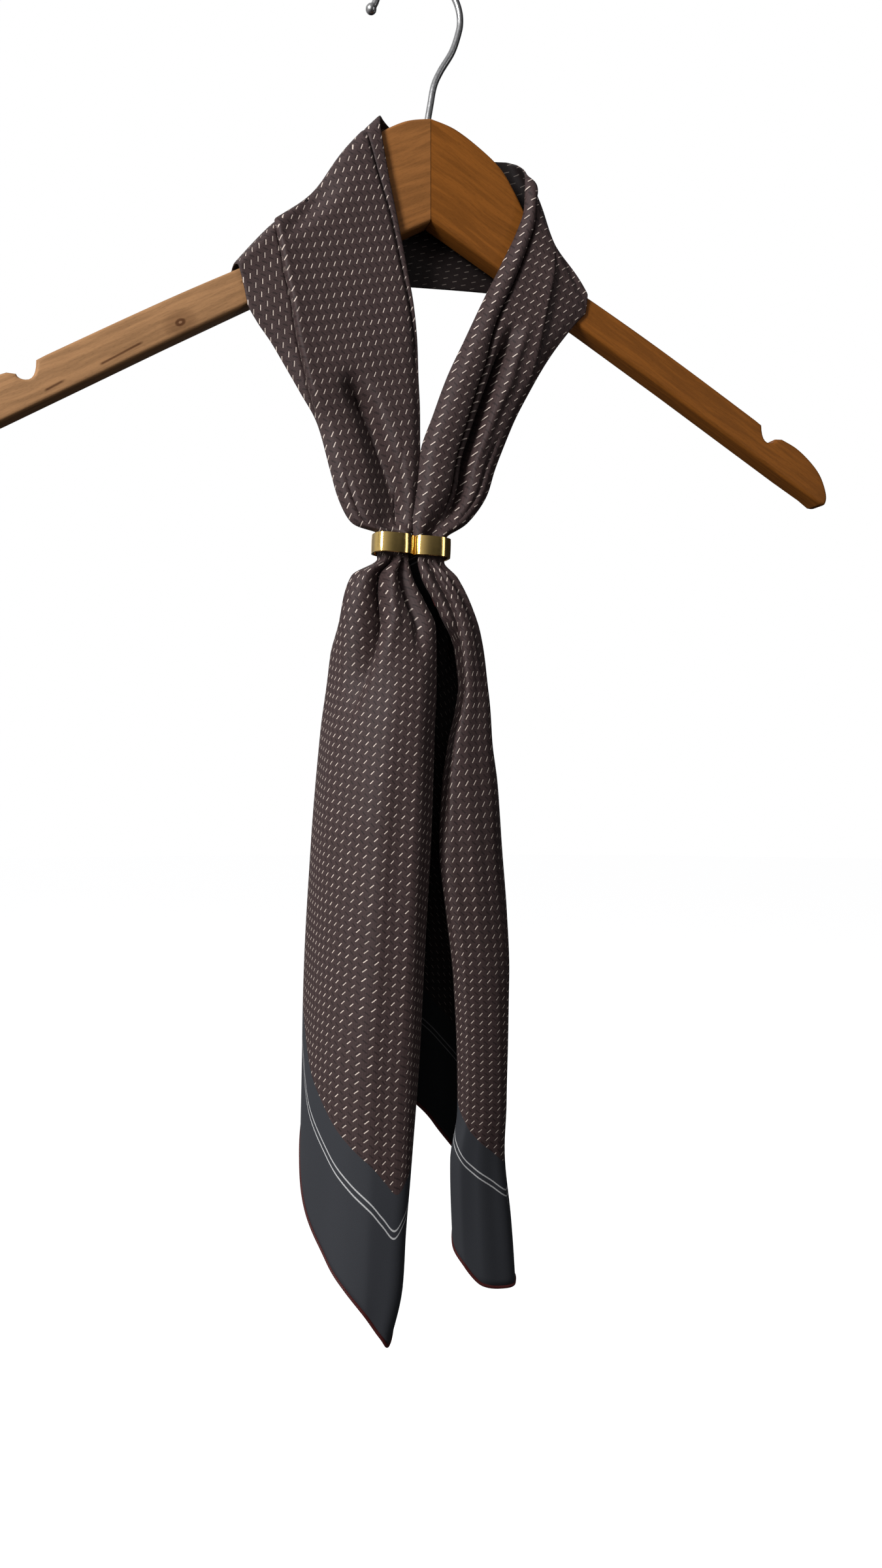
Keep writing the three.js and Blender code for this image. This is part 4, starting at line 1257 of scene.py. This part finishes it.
class SCARF_OT_ring(bpy.types.Operator):
    """Builds the two-lobed metal ring that holds both ends"""

    bl_idname = "scarf.ring"
    bl_label = "Scarf ring"

    def execute(self, context):
        reach = (RING_LOBE_WIDTH - RING_WALL) / 2
        lobes = []
        for x in (-reach, reach):
            mesh = bpy.data.meshes.new("lobe")
            bm = ring_lobe(x)
            bm.to_mesh(mesh)
            bm.free()
            lobe = bpy.data.objects.new("lobe", mesh)
            context.scene.collection.objects.link(lobe)
            lobes.append(lobe)
        join = lobes[0].modifiers.new("join", "BOOLEAN")
        join.operation = "UNION"
        join.object = lobes[1]
        bm = bmesh.new()
        bm.from_mesh(lobes[0].evaluated_get(context.evaluated_depsgraph_get()).to_mesh())
        for lobe in lobes:
            bpy.data.objects.remove(lobe)
        bmesh.ops.rotate(bm, verts=bm.verts, cent=(0, 0, 0), matrix=Matrix.Rotation(RING_TILT, 3, "Y"))
        bmesh.ops.translate(bm, verts=bm.verts, vec=Vector(RING_CENTRE) * MM)
        gold = finish_of("polished_gold", metal_finish, tuple(context.scene.scarf_colours.gold), *GOLD)
        ring = new_piece("gold_ring", bm, [gold], 30)
        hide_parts("scarf_ring")
        return {"FINISHED"}


# Stage

CAMERA_PLACE = (-171.6, -558.6, -385.0)
CAMERA_TURN = -18.1
CAMERA_LENS = 28.26
SENSOR = 36.0
FLOOR_Z = -760.0
FLOOR_REACH = 6.0
FLOOR_SEGMENTS = 96
FLOOR_GLOW = 0.86
SKY_BRIGHT_SIDE = (-0.85, -0.05, 0.5)
SKY_DARK = (0.02, 0.02, 0.022)
SKY_PALE = (0.55, 0.55, 0.56)
SKY_FADE = (-0.35, 0.95)

# Soft lights, all aimed at one place, in metres: name, place, size, and power in watts
LIGHT_TARGET = (0.0, 0.0, -0.34)
LIGHTS = (
    ("key", (-0.95, -0.68, 0.22), (0.3, 0.6), 17),
    ("fill", (0.75, -0.9, -0.1), (0.2, 0.8), 1.4),
    ("back", (0.2, 0.9, 0.3), (0.9, 0.9), 2),
)


def area_light(name, place, size, energy):
    """A soft rectangular light."""
    light = bpy.data.lights.new(name, "AREA")
    light.shape = "RECTANGLE"
    light.size, light.size_y = size
    light.energy = energy
    lamp = bpy.data.objects.new(name, light)
    lamp.location = place
    lamp.rotation_euler = (Vector(LIGHT_TARGET) - Vector(place)).to_track_quat("-Z", "Y").to_euler()
    bpy.context.scene.collection.objects.link(lamp)


def pale_world():
    """A world that is white to the camera, and a dim room with one brighter side to all else."""
    world = bpy.data.worlds.new("pale_room")
    world.use_nodes = True
    sky = Nodes(world.node_tree)
    way = sky.node("ShaderNodeTexCoord").outputs["Generated"]
    toward = sky.node("ShaderNodeVectorMath", {"operation": "DOT_PRODUCT"}, {0: way, 1: SKY_BRIGHT_SIDE})
    room = sky.mix(sky.number(toward.outputs["Value"]).rise(*SKY_FADE), SKY_DARK, SKY_PALE)
    seen = sky.node("ShaderNodeLightPath").outputs["Is Camera Ray"]
    background = world.node_tree.nodes["Background"]
    sky.feed(background.inputs["Color"], sky.mix(seen, room, (1, 1, 1)))
    sky.feed(background.inputs["Strength"], 1.0)
    return world


class SCARF_OT_stage(bpy.types.Operator):
    """Sets the camera, the soft lights, the pale surroundings and the pale floor"""

    bl_idname = "scarf.stage"
    bl_label = "Stage"

    def execute(self, context):
        scene = context.scene
        camera = bpy.data.cameras.new("camera")
        camera.sensor_fit = "VERTICAL"
        camera.sensor_height = SENSOR
        camera.lens = CAMERA_LENS
        camera.clip_start = 0.01
        view = bpy.data.objects.new("camera", camera)
        view.location = Vector(CAMERA_PLACE) * MM
        view.rotation_euler = (math.pi / 2, 0, math.radians(CAMERA_TURN))
        scene.collection.objects.link(view)
        scene.camera = view

        scene.view_settings.view_transform = "Standard"
        scene.view_settings.look = "None"

        scene.world = pale_world()
        for name, place, size, power in LIGHTS:
            area_light(name, place, size, power)

        bm = bmesh.new()
        bmesh.ops.create_circle(bm, cap_ends=True, segments=FLOOR_SEGMENTS, radius=FLOOR_REACH)
        bmesh.ops.translate(bm, verts=bm.verts, vec=(0, 0, FLOOR_Z * MM))
        mesh = bpy.data.meshes.new("floor")
        bm.to_mesh(mesh)
        bm.free()
        floor = bpy.data.objects.new("floor", mesh)
        pale = Finish(
            "pale_floor",
            Roughness=0.9,
            Base_Color=(0.4, 0.4, 0.4, 1),
            Emission_Color=(1, 1, 1, 1),
            Emission_Strength=FLOOR_GLOW,
        )
        mesh.materials.append(pale.material)
        floor.visible_diffuse = False
        floor.visible_glossy = False
        scene.collection.objects.link(floor)
        return {"FINISHED"}


class SCARF_PT_panel(bpy.types.Panel):
    """Lists the scarf's sizes, colours and pieces"""

    bl_idname = "SCARF_PT_panel"
    bl_label = "Silk scarf"
    bl_space_type = "VIEW_3D"
    bl_region_type = "UI"
    bl_category = "Scarf"

    def draw(self, context):
        for group in (context.scene.scarf_sizes, context.scene.scarf_colours):
            for name in group.bl_rna.properties.keys():
                if name not in ("rna_type", "name"):
                    self.layout.prop(group, name)
        for operator in OPERATORS:
            self.layout.operator(operator.bl_idname)


OPERATORS = (
    SCARF_OT_hanger,
    SCARF_OT_hook,
    SCARF_OT_ring,
    SCARF_OT_neck_band,
    SCARF_OT_tail,
    SCARF_OT_tucked_corner,
    SCARF_OT_stage,
)
CLASSES = (ScarfSizes, ScarfColours, *OPERATORS, SCARF_PT_panel)


def register():
    for made in CLASSES:
        bpy.utils.register_class(made)
    bpy.types.Scene.scarf_sizes = bpy.props.PointerProperty(type=ScarfSizes)
    bpy.types.Scene.scarf_colours = bpy.props.PointerProperty(type=ScarfColours)


def unregister():
    del bpy.types.Scene.scarf_colours
    del bpy.types.Scene.scarf_sizes
    for made in reversed(CLASSES):
        bpy.utils.unregister_class(made)


def main():
    register()
    bpy.ops.scarf.hanger()
    bpy.ops.scarf.hook()
    bpy.ops.scarf.ring()
    bpy.ops.scarf.neck_band()
    bpy.ops.scarf.tail(side="left")
    bpy.ops.scarf.tail(side="right")
    bpy.ops.scarf.tucked_corner()
    bpy.ops.scarf.stage()


if __name__ == "__main__":
    main()
